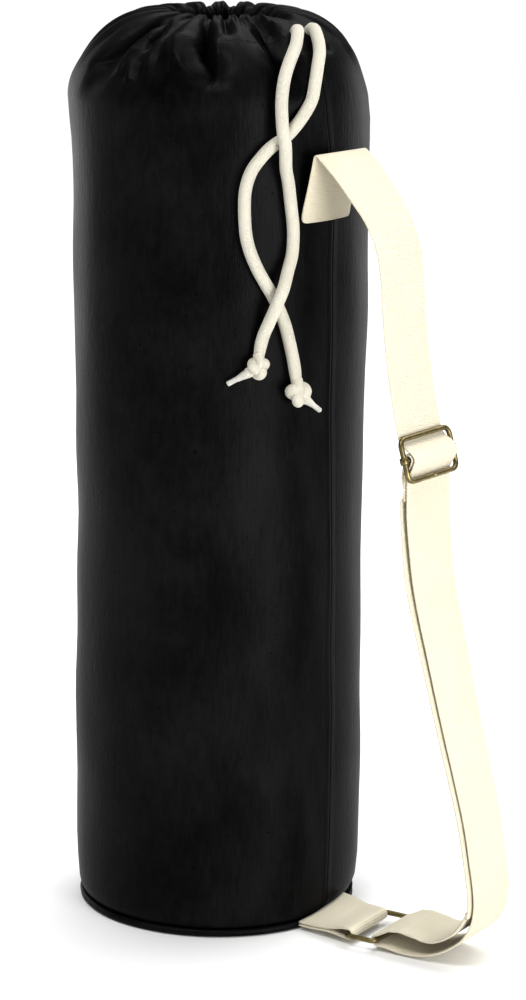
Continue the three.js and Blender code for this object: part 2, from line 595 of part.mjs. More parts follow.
// The ring's tab: both ends against the seam roll, folded round the ring's inner bar
function ringTab() {
  const stations = [];
  const root = bagRadius + bowSag;
  const ply = (share, way) => {
    const grown = smooth(share, 0, 1);
    const apart = THREE.MathUtils.lerp(spacing / 2, wrapRadius, grown);
    const at = new THREE.Vector3(THREE.MathUtils.lerp(root, innerBar.x, share), innerBar.y * share,
      THREE.MathUtils.lerp(weltHeight, ringHeight, grown)).addScaledVector(way, apart);
    stations.push({ at, side: sideOf(strapAngle * grown), face: way, bow: 1 - grown });
  };
  const shares = [0, 0.3, 0.6, 0.85];
  const down = up.clone().negate();
  shares.forEach((share) => ply(share, down));
  for (const turn of [0, 45, 90, 135, 180]) {
    const face = turned(ringWay, turn, down);
    stations.push({ at: innerBar.clone().addScaledVector(face, wrapRadius), side: ringSide, face });
  }
  shares.toReversed().forEach((share) => ply(share, up));
  add('ring_tab', webbingLoft(stations), CREAM_WEBBING);
}

bagBody();
base();
add('drawcord_hidden', hiddenCord(), CREAM_CORD);
cordEnd('left', leftEnd, 26);
cordEnd('right', rightEnd, 30);
knot('left', leftKnot);
knot('right', rightKnot);
strap();
slider();
ring();
ringTab();

export default bag;
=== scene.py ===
"""A standing drawstring bag for a rolled exercise mat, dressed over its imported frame.

Metres, +Z up, origin at the middle of the round base on the floor, strap on the +X side.
"""
from bisect import bisect_right
from math import asin, atan, cos, degrees, dist, exp, hypot, pi, radians, sin, sqrt

import bpy
from mathutils import Matrix, Vector, noise


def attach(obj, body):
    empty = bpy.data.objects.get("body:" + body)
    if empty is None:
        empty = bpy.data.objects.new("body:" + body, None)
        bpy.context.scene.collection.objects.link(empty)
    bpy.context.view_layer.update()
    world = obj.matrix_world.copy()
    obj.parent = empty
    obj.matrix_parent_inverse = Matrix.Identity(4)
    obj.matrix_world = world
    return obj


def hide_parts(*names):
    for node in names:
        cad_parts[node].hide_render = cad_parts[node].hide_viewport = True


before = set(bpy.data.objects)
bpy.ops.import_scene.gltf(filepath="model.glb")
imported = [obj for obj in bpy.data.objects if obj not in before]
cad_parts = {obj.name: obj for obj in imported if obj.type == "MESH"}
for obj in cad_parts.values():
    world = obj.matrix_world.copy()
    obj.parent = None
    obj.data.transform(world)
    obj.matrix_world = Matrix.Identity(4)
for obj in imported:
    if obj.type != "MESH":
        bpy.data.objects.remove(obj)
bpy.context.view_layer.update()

bl_info = {
    "name": "Yoga Mat Bag",
    "version": (1, 0, 0),
    "blender": (4, 5, 0),
    "location": "3D View > Sidebar > Mat Bag",
    "description": "Cotton mat bag with a drawcord, a webbing strap, a wire slider and a wire ring",
    "category": "Object",
}

MM = 0.001


# Shader values as expressions

class Link:
    """A value in a material's nodes; arithmetic on it adds Math nodes."""

    def __init__(self, paint, socket):
        self.paint, self.socket = paint, socket

    def math(self, operation, *others):
        inputs = dict(enumerate([self, *others]))
        return self.paint.node("ShaderNodeMath", {"operation": operation}, inputs)

    def __rsub__(self, other):
        return self.paint.node("ShaderNodeMath", {"operation": "SUBTRACT"}, {0: other, 1: self})

    def __add__(self, other): return self.math("ADD", other)
    def __sub__(self, other): return self.math("SUBTRACT", other)
    def __mul__(self, other): return self.math("MULTIPLY", other)
    __radd__, __rmul__ = __add__, __mul__
    def sine(self): return self.math("SINE")
    def size(self): return self.math("ABSOLUTE")
    def over(self, level): return self.math("GREATER_THAN", level)

    def ramp(self, low, high):
        """0 below low, 1 above high, smooth between."""
        inputs = {"Value": self, "From Min": low, "From Max": high}
        return self.paint.node("ShaderNodeMapRange", {"interpolation_type": "SMOOTHSTEP"}, inputs)

    def blend(self, first, second):
        """A colour between two, by this value."""
        inputs = {"Factor": self, MIX_FIRST: first, MIX_SECOND: second}
        return self.paint.node("ShaderNodeMix", {"data_type": "RGBA"}, inputs, MIXED)


# Places of the Mix node's colours among its sockets, and of the piece's coordinates
MIX_FIRST, MIX_SECOND, MIXED = 6, 7, 2
OBJECT_COORDINATES = 3
# Sockets whose names are more than their words with capitals
NAMES = {"specular_ior_level": "Specular IOR Level", "ior": "IOR"}


class Paint:
    """One procedural material."""

    def __init__(self, name, **constants):
        self.material = bpy.data.materials.new(name)
        self.material.use_nodes = True
        self.tree = self.material.node_tree
        self.shader = self.tree.nodes["Principled BSDF"]
        self.fill(self.shader, constants)

    def node(self, kind, settings=None, inputs=None, out=0):
        made = self.tree.nodes.new(kind)
        for key, value in (settings or {}).items():
            setattr(made, key, value)
        self.fill(made, inputs or {})
        return Link(self, made.outputs[out])

    def fill(self, made, inputs):
        for key, value in inputs.items():
            if isinstance(key, str):
                key = NAMES.get(key, key.replace("_", " ").title())
            socket = made.inputs[key]
            if isinstance(value, Link):
                self.tree.links.new(value.socket, socket)
            elif socket.type == "RGBA":
                socket.default_value = (*value[:3], 1)
            else:
                socket.default_value = value

    def place(self, source="uv"):
        """Coordinates in metres: the cloth's own, or the piece's."""
        if source == "uv":
            vector = self.node("ShaderNodeUVMap", {"uv_map": "UVMap"})
        else:
            vector = self.node("ShaderNodeTexCoord", out=OBJECT_COORDINATES)
        split = self.tree.nodes.new("ShaderNodeSeparateXYZ")
        self.tree.links.new(vector.socket, split.inputs[0])
        return [Link(self, output) for output in split.outputs]

    def noise(self, x, y, z=0.0, detail=3.0, rough=0.55):
        vector = self.node("ShaderNodeCombineXYZ", None, {0: x, 1: y, 2: z})
        inputs = {"Vector": vector, "Scale": 1.0, "Detail": detail, "Roughness": rough}
        return self.node("ShaderNodeTexNoise", None, inputs)

    def finish(self, height=None, depth=0.001, **links):
        if height is not None:
            inputs = {"Height": height, "Distance": depth, "Strength": 1.0}
            links["Normal"] = self.node("ShaderNodeBump", None, inputs)
        self.fill(self.shader, links)
        return self.material


def black_cotton(shade, hem):
    """Matte black cotton with slubs, a side seam and the hem's row of stitches.

    hem is the distance of the stitches up the cloth from the bag's foot. The seam stands at a heading
    in degrees, swings aside on its way up and ends below the mouth.
    """
    seam_heading, seam_swing, seam_end, stitch = 2, 6.9, 0.612, 0.0028
    paint = Paint("black cotton", specular_ior_level=0.06)
    u, v, _z = paint.place()
    upright = paint.noise(u * 700, v * 110, 1.0)
    level = paint.noise(u * 90, v * 700, 7.0)
    streaks = paint.noise(u * 260, v * 60, 11.0, detail=5.0, rough=0.65)
    # Broad patches: partly a random mottle of the washed cotton, partly painted light and shade on the
    # wall
    patches = paint.noise(u * 22 + v * 7, v * 13 - u * 9, 3.0, detail=5.0, rough=0.5)
    seeds = paint.noise(u * 260, v * 240, 9.0, detail=1.0).ramp(0.72, 0.76)
    yarn = upright * 0.6 + level * 0.4
    # The patches spread the base colour from 0.3 to 10 times the shade: painted light and shade on top
    # of the cloth's own mottle
    tone = (yarn * 0.5 + streaks * 0.7 + patches * 1.3).ramp(0.85, 1.7)
    base = tone.blend([c * 0.3 for c in shade], [c * 10 for c in shade])

    x, y, z = paint.place("object")
    turn = y.math("ARCTAN2", x) * (180 / pi)
    seam = (turn - seam_heading + z.ramp(0.49, 0.6) * seam_swing).size()
    below = 1 - z.over(seam_end)
    crack = (1 - seam.ramp(0.15, 0.5)) * below
    ease = (1 - seam.ramp(0.5, 3.5)) * below
    row = 1 - (v - hem).size().ramp(0.0003, 0.0006)
    thread = row * (u * (2 * pi / stitch)).sine().ramp(-0.3, 0.2)
    dark = (seeds + crack + row * 0.5).math("MINIMUM", 1)
    base = dark.blend(base, (0.0003, 0.0003, 0.0003))

    weave = yarn * 0.9 + streaks * 0.8 - seeds * 0.6
    height = weave - crack * 3 + ease * 1.5 - row * 2 + thread * 2.5
    return paint.finish(height, 0.0003, Base_Color=base, Roughness=0.3 + 0.22 * patches)


def cream_webbing(shade):
    """Cotton webbing with fine crosswise ribs."""
    rib_pitch, yarn_pitch = 0.00135, 0.0011
    paint = Paint("cream webbing", sheen_weight=0.15, sheen_roughness=0.5, specular_ior_level=0.25)
    u, v, _z = paint.place()
    rib = (v * (2 * pi / rib_pitch)).sine()
    yarn = (u * (2 * pi / yarn_pitch)).sine()
    loose = paint.noise(u * 900, v * 260, 2.0)
    tone = paint.noise(u * 40, v * 25, 4.0)
    wear = (tone * 0.8 + rib * 0.12 + loose * 0.25).ramp(0.1, 1.1)
    base = wear.blend([c * 0.9 for c in shade], shade)
    height = rib * 0.6 + rib * yarn * 0.3 + loose * 0.25
    return paint.finish(height, 0.00016, Base_Color=base, Roughness=0.8 + 0.12 * loose)


def cream_cord(shade):
    """Braided cotton cord: two sets of strands that cross on a slant."""
    slant, strands = 2400, 12
    paint = Paint("cream cord", sheen_weight=0.2, sheen_roughness=0.5, specular_ior_level=0.22)
    u, v, _z = paint.place()
    right = (v * slant + u * (2 * pi * strands)).sine()
    left = (v * slant - u * (2 * pi * strands)).sine()
    fuzz = paint.noise(u * 40, v * 900, 3.0)
    tone = paint.noise(u * 3, v * 45, 6.0)
    braid = right * left
    wear = (tone * 0.9 + braid * 0.08 + fuzz * 0.2).ramp(0.15, 1.0)
    base = wear.blend([c * 0.86 for c in shade], shade)
    height = braid * 0.5 + fuzz * 0.6
    return paint.finish(height, 0.00022, Base_Color=base, Roughness=0.82 + 0.1 * fuzz)


def antique_brass(shade):
    """Darkened brass wire, worn brighter in patches."""
    paint = Paint("antique brass", metallic=1.0)
    x, y, z = paint.place("object")
    cloud = paint.noise(x * 260, y * 260, z * 260)
    grain = paint.noise(x * 2600, y * 2600, z * 2600, detail=2.0)
    worn = (cloud * 0.9 + grain * 0.35).ramp(0.45, 0.95)
    base = worn.blend([c * 0.5 for c in shade], shade)
    return paint.finish(grain, 0.00004, Base_Color=base, Roughness=0.42 - 0.16 * worn)


def clear_tip():
    """Thin whitish plastic sleeve."""
    paint = Paint("clear tip", roughness=0.25, coat_weight=0.3, transmission_weight=0.35, ior=1.46)
    x, y, z = paint.place("object")
    inside = paint.noise(x * 500, y * 500, z * 500)
    return paint.finish(None, Base_Color=inside.blend((0.62, 0.6, 0.52), (0.86, 0.85, 0.8)))


def pale_floor():
    """Plain, almost white floor that glows a little."""
    paint = Paint("pale floor", specular_ior_level=0.1, emission_color=(1, 1, 1),
                  emission_strength=0.03)
    x, y, _z = paint.place("object")
    dust = paint.noise(x * 3, y * 3)
    grey = dust.blend((0.86, 0.86, 0.86), (0.89, 0.89, 0.89))
    return paint.finish(None, Base_Color=grey, Roughness=0.9)


# Making pieces

def deselect():
    bpy.ops.object.select_all(action="DESELECT")


def add(operator, **settings):
    """Run one of Blender's add operators and return what it made."""
    deselect()
    operator(**settings)
    return bpy.context.object


def own(piece, material):
    """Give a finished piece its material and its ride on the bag."""
    piece.data.materials.clear()
    piece.data.materials.append(material)
    for face in piece.data.polygons:
        face.use_smooth = True
    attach(piece, "root")


def surface(name, across, along, spot, closed=False, capped=False, uv=None):
    """A grid with one corner per step, each moved to spot(i, j).

    i runs across from 0 to across, j runs along from 0 to along. A closed one joins the corners that
    fall on one spot, and a capped one is filled at both ends. uv(i, j) gives the cloth's coordinates,
    in metres where the shader counts threads.
    """
    piece = add(bpy.ops.mesh.primitive_grid_add, x_subdivisions=across, y_subdivisions=along, size=2)
    piece.name = piece.data.name = name
    mesh = piece.data
    steps = []
    for vertex in mesh.vertices:
        i = round((vertex.co.x + 1) / 2 * across)
        j = round((vertex.co.y + 1) / 2 * along)
        steps.append((i, j))
        vertex.co = spot(i, j)
    if uv:
        layer = mesh.uv_layers.active.data
        for loop in mesh.loops:
            layer[loop.index].uv = uv(*steps[loop.vertex_index])
    bpy.ops.object.mode_set(mode="EDIT")
    bpy.ops.mesh.select_all(action="SELECT")
    if closed:
        bpy.ops.mesh.remove_doubles(threshold=1e-7)
    if capped:
        bpy.ops.mesh.select_all(action="DESELECT")
        bpy.ops.mesh.select_non_manifold(extend=False, use_wire=False, use_multi_face=False,
                                         use_verts=False)
        bpy.ops.mesh.fill_holes(sides=0)
        bpy.ops.mesh.select_all(action="SELECT")
    bpy.ops.mesh.normals_make_consistent(inside=False)
    bpy.ops.object.mode_set(mode="OBJECT")
    return piece


def modify(piece, kind, **settings):
    """Add a modifier and apply it."""
    deselect()
    piece.select_set(True)
    bpy.context.view_layer.objects.active = piece
    modifier = piece.modifiers.new(kind.title(), kind)
    for key, value in settings.items():
        setattr(modifier, key, value)
    bpy.ops.object.modifier_apply(modifier=modifier.name)


class Route:
    """A smooth curve through chosen points, read by the distance along it."""

    def __init__(self, points, fineness=24):
        points = [Vector(p) for p in points]
        ends = [2 * points[0] - points[1], *points, 2 * points[-1] - points[-2]]
        self.points = []
        for a, b, c, d in zip(ends, ends[1:], ends[2:], ends[3:]):
            knots = [0.0]
            for p, q in ((a, b), (b, c), (c, d)):
                knots.append(knots[-1] + max((q - p).length, 1e-9) ** 0.5)
            for k in range(fineness):
                self.points.append(self.between((a, b, c, d), knots, k / fineness))
        self.points.append(points[-1])
        self.reach = [0.0]
        for p, q in zip(self.points, self.points[1:]):
            self.reach.append(self.reach[-1] + (q - p).length)
        self.length = self.reach[-1]

    @staticmethod
    def between(points, knots, share):
        """A place on the curve from the second point to the third, from lines mixed pair by pair."""
        a, b, c, d = knots
        t = b + (c - b) * share
        level = points
        for spans in (((a, b), (b, c), (c, d)), ((a, c), (b, d)), ((b, c),)):
            level = [((high - t) * p + (t - low) * q) / (high - low)
                     for p, q, (low, high) in zip(level, level[1:], spans)]
        return level[0]

    def at(self, distance):
        distance = min(max(distance, 0.0), self.length)
        low = min(bisect_right(self.reach, distance), len(self.reach) - 1) - 1
        span = self.reach[low + 1] - self.reach[low]
        share = (distance - self.reach[low]) / span if span else 0
        return self.points[low].lerp(self.points[low + 1], share)

    def heading(self, distance, reach=0.0008):
        return (self.at(distance + reach) - self.at(distance - reach)).normalized()

    def evenly(self, step):
        count = max(2, round(self.length / step))
        return [self.at(self.length * k / count) for k in range(count + 1)]


def tube(name, points, radius, sides=16):
    """A round rod along points; radius may be a function of the share of the way.

    Its coordinates are the share of the way round and the metres along.
    """
    size = radius if callable(radius) else (lambda share: radius)
    count = len(points) - 1
    distances = [0.0]
    for p, q in zip(points, points[1:]):
        distances.append(distances[-1] + (q - p).length)
    headings = [(points[min(k + 1, count)] - points[max(k - 1, 0)]).normalized()
                for k in range(count + 1)]
    side = headings[0].orthogonal().normalized()
    sides_at = []
    for heading in headings:
        side = (side - heading * side.dot(heading)).normalized()
        sides_at.append((side.copy(), heading.cross(side)))

    def spot(i, j):
        turn = 2 * pi * i / sides
        a, b = sides_at[j]
        reach = size(j / count)
        return points[j] + (a * cos(turn) + b * sin(turn)) * reach

    return surface(name, sides, count, spot, closed=True, capped=True,
                   uv=lambda i, j: (i / sides, distances[j]))


def smooth(value, low, high):
    """0 at low, 1 at high, eased between; low may be above high."""
    share = min(max((value - low) / (high - low), 0.0), 1.0)
    return share * share * (3 - 2 * share)


def polar(deg, r, z):
    """A place in metres, from a heading round the bag and millimetres."""
    return around(deg, r, z) * MM


def around(deg, reach, level=0.0):
    """A place from a heading and a reach, in any unit."""
    return Vector((reach * cos(radians(deg)), reach * sin(radians(deg)), level))


def length(name, mm, description):
    return bpy.props.FloatProperty(name=name, description=description, default=mm * MM, unit="LENGTH")


def colour_of(what, shade):
    return bpy.props.FloatVectorProperty(
        name="Colour", description=f"Colour of the {what}", subtype="COLOR", default=shade)


# Sizes and colours that a user would change

class BagSizes(bpy.types.PropertyGroup):
    """Black cotton bag"""
    fold_depth: length("Fold Depth", 12, "Deepest fold of the gathered shoulder")
    ruffle: length("Ruffle", 1.5, "Height of the small ruffles round the mouth")
    softness: length("Softness", 1.1, "Height of the broad waves in the wall")
    cloth: length("Cloth", 1.5, "Thickness of the cotton")
    colour: colour_of("cotton", (0.0009, 0.0009, 0.00095))


class CordSizes(bpy.types.PropertyGroup):
    """Cream drawcord"""
    diameter: length("Diameter", 8.6, "Thickness of the drawcord")
    strand: length("Knot Strand", 7.2, "Thickness of the pulled cord in a knot")
    colour: colour_of("cord", (0.61, 0.585, 0.50))


class StrapSizes(bpy.types.PropertyGroup):
    """Cream webbing"""
    width: length("Width", 49.5, "Width of the webbing")
    thickness: length("Thickness", 1.8, "Thickness of the webbing")
    colour: colour_of("webbing", (0.68, 0.63, 0.505))


class HardwareSizes(bpy.types.PropertyGroup):
    """Wire slider and ring"""
    wire: length("Wire", 3.6, "Thickness of the bent wire")
    colour: colour_of("worn brass", (0.33, 0.27, 0.13))


# The bag's form, in millimetres and degrees

BAG_RADIUS = 100.0
BAG_HEIGHT = 634.5
SHOULDER_RADIUS = 59.5
SHOULDER_BASE = BAG_HEIGHT - SHOULDER_RADIUS
TOP_RADIUS = BAG_RADIUS - SHOULDER_RADIUS
SHOULDER_LENGTH = SHOULDER_RADIUS * pi / 2
CLOTH, SEAM_GAP = 2.0, 0.3  # thickness of the solid's cloth, gap between sewn pieces
WELT_OUTER, WELT_INNER, WELT_HEIGHT = 99.7, 94.1, 4.8
WALL_BASE = 5.1
CORNER_HEIGHT, CORNER_DEPTH = 11, 5  # the rounded foot of the wall
HEM_RADIUS = 77  # where the casing's stitches run on the shoulder
HEM_TURN = degrees(asin((HEM_RADIUS - TOP_RADIUS) / SHOULDER_RADIUS))
RING_REACH = 6.8  # from the middle of the hidden cord to the outside of its casing
MOUTH_RADIUS, MOUTH_REACH, MOUTH_SPREAD, MOUTH_HEADING = 41, 24, 17, 3.0
RUFFLE_DEPTH = 3.6
FOLD_SHARPNESS = 1.25
# Shares of the way down the shoulder over which folds deepen, fade out, and ruffles fade out
GROW, FADE, RUFFLE_FADE = 0.3, 0.5, 0.22
LAP_DEPTH, LAP_MOST = 6, 3.2  # deeper creases than this lap over their valley, by this at most
ROUND = 0.628  # the bag's girth in metres, for the cloth's coordinates

# Each fold: angle at the mouth and at the shoulder's foot, pinch, share of the depth, where it ends
FOLDS = [
    (-60, -54, 1, 0.4, 1.0), (-44, -41, 1, 0.2, 0.6), (-32, -30, 0.8, 0.1, 0.55),
    (-21, -19, 1, 0.45, 0.95), (-10, -9, 0.1, 0, 0.5), (0, 0, 0, 0, 0.5), (11, 12, 0.1, 0, 0.5),
    (24, 27, 0.6, 0.5, 0.8), (41, 46, 1, 0.7, 1.0), (60, 66, 1, 0.55, 0.85),
    (80, 86, 1, 0.75, 1.05), (101, 107, 1, 0.5, 0.8), (122, 128, 1, 0.7, 0.95),
    (144, 148, 1, 0.6, 0.85), (166, 168, 1, 0.8, 1.05), (188, 187, 1, 0.55, 0.8),
    (209, 203, 1, 0.7, 1.0), (230, 217, 1, 0.5, 0.9), (252, 231, 1, 0.45, 0.8),
    (272, 249, 1, 0.5, 1.05), (286, 277, 1, 0.3, 0.8),
]


# Creases of the gathered shoulder. Each has its route as (angle, share of the way down), its depth,
# which is negative for a ridge, and its widths on the left and the right hand along the route.
CREASES = [
    ([(-94, 0.14), (-96, 0.29), (-99, 0.42), (-102, 0.51), (-106, 0.59), (-110, 0.67),
      (-113, 0.76)], 8, 4, 10),
    ([(-90, 0.11), (-89, 0.25), (-90, 0.38), (-94, 0.5), (-100, 0.64), (-112, 0.8)], -3, 9, 2.6),
    ([(-107, 0.09), (-108, 0.19), (-110, 0.38), (-117, 0.53), (-122, 0.69)], -2, 5, 5),
    ([(-84, 0.2), (-83, 0.36), (-86, 0.44), (-85, 0.51), (-83, 0.6)], 6.5, 3.5, 4),
    ([(-80, 0.16), (-79, 0.36), (-79, 0.49), (-80, 0.63), (-82, 0.76)], -2.6, 10, 3.2),
    ([(-92, 0.52), (-93, 0.65), (-93, 0.79)], -2.2, 3, 3),
    ([(-92, 0.57), (-91, 0.69), (-90, 0.82)], 2.6, 2.6, 2.6),
    ([(-91, 0.6), (-89, 0.71), (-86, 0.85)], -2.2, 3.4, 3.4),
    ([(-84, 0.6), (-84, 0.68), (-84, 0.79)], 3, 3.6, 3.6),
    ([(-59, 0.15), (-58, 0.33), (-59, 0.47), (-56, 0.58), (-53, 0.65), (-52, 0.74),
      (-54, 0.83)], 17, 4, 7),
    ([(-73, 0.36), (-69, 0.55), (-64, 0.67), (-59, 0.74), (-55, 0.85)], -4, 6.5, 13),
    ([(-51, 0.37), (-50, 0.54), (-50, 0.66), (-51, 0.78), (-54, 0.88)], -1.8, 2.4, 2.4),
    ([(-27, 0.08), (-27, 0.3), (-26, 0.42), (-24, 0.51), (-22, 0.59), (-21, 0.67), (-23, 0.78),
      (-26, 0.94), (-29, 1.19)], 10, 9, 3.6),
    ([(-46, -0.04), (-45, 0.22), (-44, 0.35)], 5, 3.5, 3.5),
    ([(-30, 0.04), (-31, 0.27), (-29, 0.35), (-29, 0.47), (-28, 0.55), (-26, 0.63)], -2.6, 3, 13),
    ([(-25, -0.08), (-28, 0.15), (-24, 0.28), (-20, 0.39)], -2, 2.2, 2.2),
    ([(-15, -0.12), (-23, 0.14), (-21, 0.28), (-16, 0.38)], 2.6, 2.2, 2.2),
    ([(-9, -0.11), (-18, 0.12), (-16, 0.27), (-13, 0.38)], -2, 2.2, 2.2),
    ([(-4, 0.06), (-14, 0.17), (-18, 0.26)], 2.5, 1.6, 1.6),
    ([(-11, 0.55), (-13, 0.7), (-16, 0.88), (-18, 1.06)], -3, 6, 6),
    ([(7, 0.43), (7, 0.52), (9, 0.61)], 2.4, 5, 3),
]


def near(deg):
    """The same heading, from -180 up to 180."""
    return (deg + 180) % 360 - 180


def creased(deg, share):
    """Depth in millimetres that the creases add, and how far their steep side laps over the valley.

    The lap is in degrees round the bag and in shares of the way down.
    """
    deg = near(deg)
    round_there = (radians(1)
                   * (TOP_RADIUS + SHOULDER_RADIUS * sin(radians(90 * min(share, 1)))))
    total, lean_deg, lean_share = 0.0, 0.0, 0.0
    for route, depth, left_width, right_width in CREASES:
        if not min(q[0] for q in route) - 25 < deg < max(q[0] for q in route) + 25:
            continue
        places = [((q[0] - deg) * round_there, (q[1] - share) * SHOULDER_LENGTH) for q in route]
        best, width, along, toward = 1e9, 1.0, 0.0, (0, 0)
        for k, ((ax, ay), (bx, by)) in enumerate(zip(places, places[1:])):
            dx, dy = bx - ax, by - ay
            t = min(max(-(ax * dx + ay * dy) / (dx * dx + dy * dy), 0.0), 1.0)
            x, y = ax + t * dx, ay + t * dy
            distance = hypot(x, y)
            if distance < best:
                best, along, toward = distance, (k + t) / (len(route) - 1), (x, y)
                side = (ax * dy - ay * dx) / (hypot(dx, dy) * max(distance, 1e-6))
                width = left_width + (right_width - left_width) * (0.5 - 0.5 * side)
        fade = smooth(along, -0.05, 0.12) * smooth(along, 1.02, 0.7)
        total += depth * exp(-(best / width) ** (1.2 if depth > 0 else 1.4)) * fade
        if depth > LAP_DEPTH and width < (left_width + right_width) / 2:
            lap = min(0.4 * depth, LAP_MOST) * exp(-((best / width - 1.3) / 0.9) ** 2) * fade
            lean_deg += lap * toward[0] / max(best, 1e-6) / round_there
            lean_share += lap * toward[1] / max(best, 1e-6) / SHOULDER_LENGTH
    return total, lean_deg, lean_share


def shoulder_turn(r):
    """How far down its quarter turn the shoulder has this radius, in degrees."""
    return degrees(asin(max(0.0, (r - TOP_RADIUS) / SHOULDER_RADIUS)))


def on_shoulder(turn, r=None):
    """Radius, height, share of the way down, and the way the surface faces."""
    out, up = sin(radians(turn)), cos(radians(turn))
    return (TOP_RADIUS + SHOULDER_RADIUS * out if r is None else r,
            SHOULDER_BASE + SHOULDER_RADIUS * up, turn / 90, out, up)


def on_wall(z):
    """The same at a height of the wall, whose foot is rounded."""
    low = max(0.0, 1 - (z - WALL_BASE) / CORNER_HEIGHT)
    r = BAG_RADIUS - CORNER_DEPTH * (1 - sqrt(1 - low * low))
    return r, z, 1 + (SHOULDER_BASE - z) / SHOULDER_LENGTH, 1.0, 0.0


def ring_top(deg):
    """Radius of the mouth's ring, which runs out towards the cord's holes."""
    return MOUTH_RADIUS + MOUTH_REACH * exp(-(near(deg - MOUTH_HEADING) / MOUTH_SPREAD) ** 2)


def waves(deg, z):
    """Broad soft waves of the wall, between about -1.7 and 1.7."""
    rise = z / BAG_HEIGHT
    first = sin(radians(2 * deg + 420 * rise + 12))
    second = sin(radians(3 * deg + 150 * rise + 139))
    return smooth(rise, 0.02, 0.12) * (first + 0.7 * second)


def corner_tuck(deg, z):
    """How far the foot of the wall is drawn in, to the right of the tab."""
    return 4.5 * max(0.0, cos(radians(deg - 34))) ** 5 * smooth(z, 24, 2)


def slump(deg, z):
    """How far the wall stands out where the filled bag bulges left and right, less the tuck."""
    left = max(0.0, cos(radians(deg + 138))) ** 2
    right = max(0.0, cos(radians(deg - 48))) ** 6
    foot = smooth(z, 20, 120)
    shoulder_left = 3.6 * exp(-((z - 578) / 24) ** 2)
    shoulder_right = 3.0 * exp(-((z - 588) / 18) ** 2)
    return (left * (shoulder_left + 1.1 * foot) - corner_tuck(deg, z)
            + right * (1.3 * foot * smooth(z, 520, 430) - shoulder_right))


class Cloth:
    """The bag's cotton, from the base seam up, over the cord and back to the casing's hem."""

    def __init__(self, sizes):
        self.softness = sizes.softness / MM
        self.depth = sizes.fold_depth / MM
        self.ruffle = sizes.ruffle / MM

    def fold(self, p):
        """The fold that rules at a place going round, its weight there and the two angles."""
        count = len(FOLDS)
        i, q = int(p) % count, p - int(p)
        first, second = FOLDS[i], FOLDS[(i + 1) % count]
        over = 360 if i == count - 1 else 0
        rim = first[0] + (second[0] + over - first[0]) * q
        foot = first[1] + (second[1] + over - first[1]) * q
        weight = ((1 + cos(2 * pi * q)) / 2) ** FOLD_SHARPNESS
        return (first if q <= 0.5 else second), weight, rim, foot

    def press(self, fold, share, start):
        """How deep a fold is at a share of the way down; start is the mouth's share."""
        _rim, _foot, pinch, depth, ends = fold
        grown = smooth(share, start, start + GROW)
        left = 1 - smooth(share, ends - FADE, ends)
        return (RUFFLE_DEPTH * pinch * (1 - grown) + self.depth * depth * grown) * left

    def ruffles(self, p, share, start):
        """Small uneven gathers close to the mouth, three to a fold."""
        fold, *_ = self.fold(round(p) % len(FOLDS))
        fade = 1 - smooth(share, start, start + RUFFLE_FADE)
        stray = 0.13 * sin(2 * pi * 18 * p / len(FOLDS))
        return self.ruffle * fold[2] * fade * (0.5 - 0.5 * cos(2 * pi * (3 * p + stray)))

    def wrinkles(self, deg, z, share):
        """Small random unevenness of the standing cloth."""
        spot = polar(deg, BAG_RADIUS, z) * 16
        finer = Vector((spot.x * 2.4, spot.y * 2.4, spot.z * 1.3))
        soft = noise.noise(spot) * 1.3 + noise.noise(finer) * 0.45
        return soft * smooth(share, 0.35, 0.9) * smooth(z, 6, 40)

    def spot(self, p, row):
        """A corner of the cloth: p counts folds round the bag, row is a kind and a value on it."""
        kind, value = row
        fold, weight, rim, foot = self.fold(p)
        top = on_shoulder(shoulder_turn(ring_top(rim)), ring_top(rim))
        start = top[2]
        bulge = RUFFLE_DEPTH * (1 - weight * fold[2])
        if kind == "ring":
            drop = RING_REACH + RUFFLE_DEPTH
            tilt = radians(90 - start * 90 + value)
            reach = RING_REACH + bulge - self.ruffles(p, start, start)
            return polar(rim, top[0] - drop * top[3] + reach * cos(tilt),
                         top[1] - drop * top[4] + reach * sin(tilt))
        inset = 0.0
        if kind == "wall":
            r, z, share, out, up = on_wall(value)
        elif kind == "shoulder":
            r, z, share, out, up = on_shoulder(value)
        else:
            r, z, share, out, up = on_shoulder(HEM_TURN + (start * 90 - HEM_TURN) * value)
            if kind == "ply":
                tunnel = 2 * (RING_REACH - CLOTH + bulge)
                inset = 2 * CLOTH + SEAM_GAP + (tunnel - SEAM_GAP) * sin(value * pi / 2)
        deg = rim + (foot - rim) * min(1.0, share)
        press = weight * self.press(fold, share, start) + inset
        if share < 1.5:
            crease, lean_deg, lean_share = creased(deg, share)
            clear = smooth(share, start, start + 0.16)
            press += crease * (clear if crease > 0 else 1)
            deg += lean_deg * clear
            lean = lean_share * clear
            r, z = r + lean * SHOULDER_LENGTH * up, z - lean * SHOULDER_LENGTH * out
        if kind != "ply":
            press += self.ruffles(p, share, start)
        lifted = (self.softness * waves(deg, z) * smooth(share, 0.5, 1)
                  + self.wrinkles(deg, z, share) + slump(deg, z))
        return polar(deg, r - press * out + lifted, z - press * up)


def bag_rows():
    """The cloth's rows from the foot to the hem: height, degrees of turn or share of the casing."""
    corner = [0, 0.8, 2, 3.6, 5.6, 8, CORNER_HEIGHT]
    rows = [("wall", WALL_BASE + step) for step in corner]
    low, steps = WALL_BASE + CORNER_HEIGHT, 38
    rows += [("wall", low + (SHOULDER_BASE - low) * k / steps) for k in range(1, steps)]
    rows += [("shoulder", 90 + (HEM_TURN - 90) * k / 28) for k in range(28)]
    rows += [("shoulder", HEM_TURN)]
    rows += [("casing", k / 16) for k in range(1, 16)]
    rows += [("ring", 15 * k) for k in range(13)]
    rows += [("ply", 1 - k / 6) for k in range(1, 7)]
    return rows


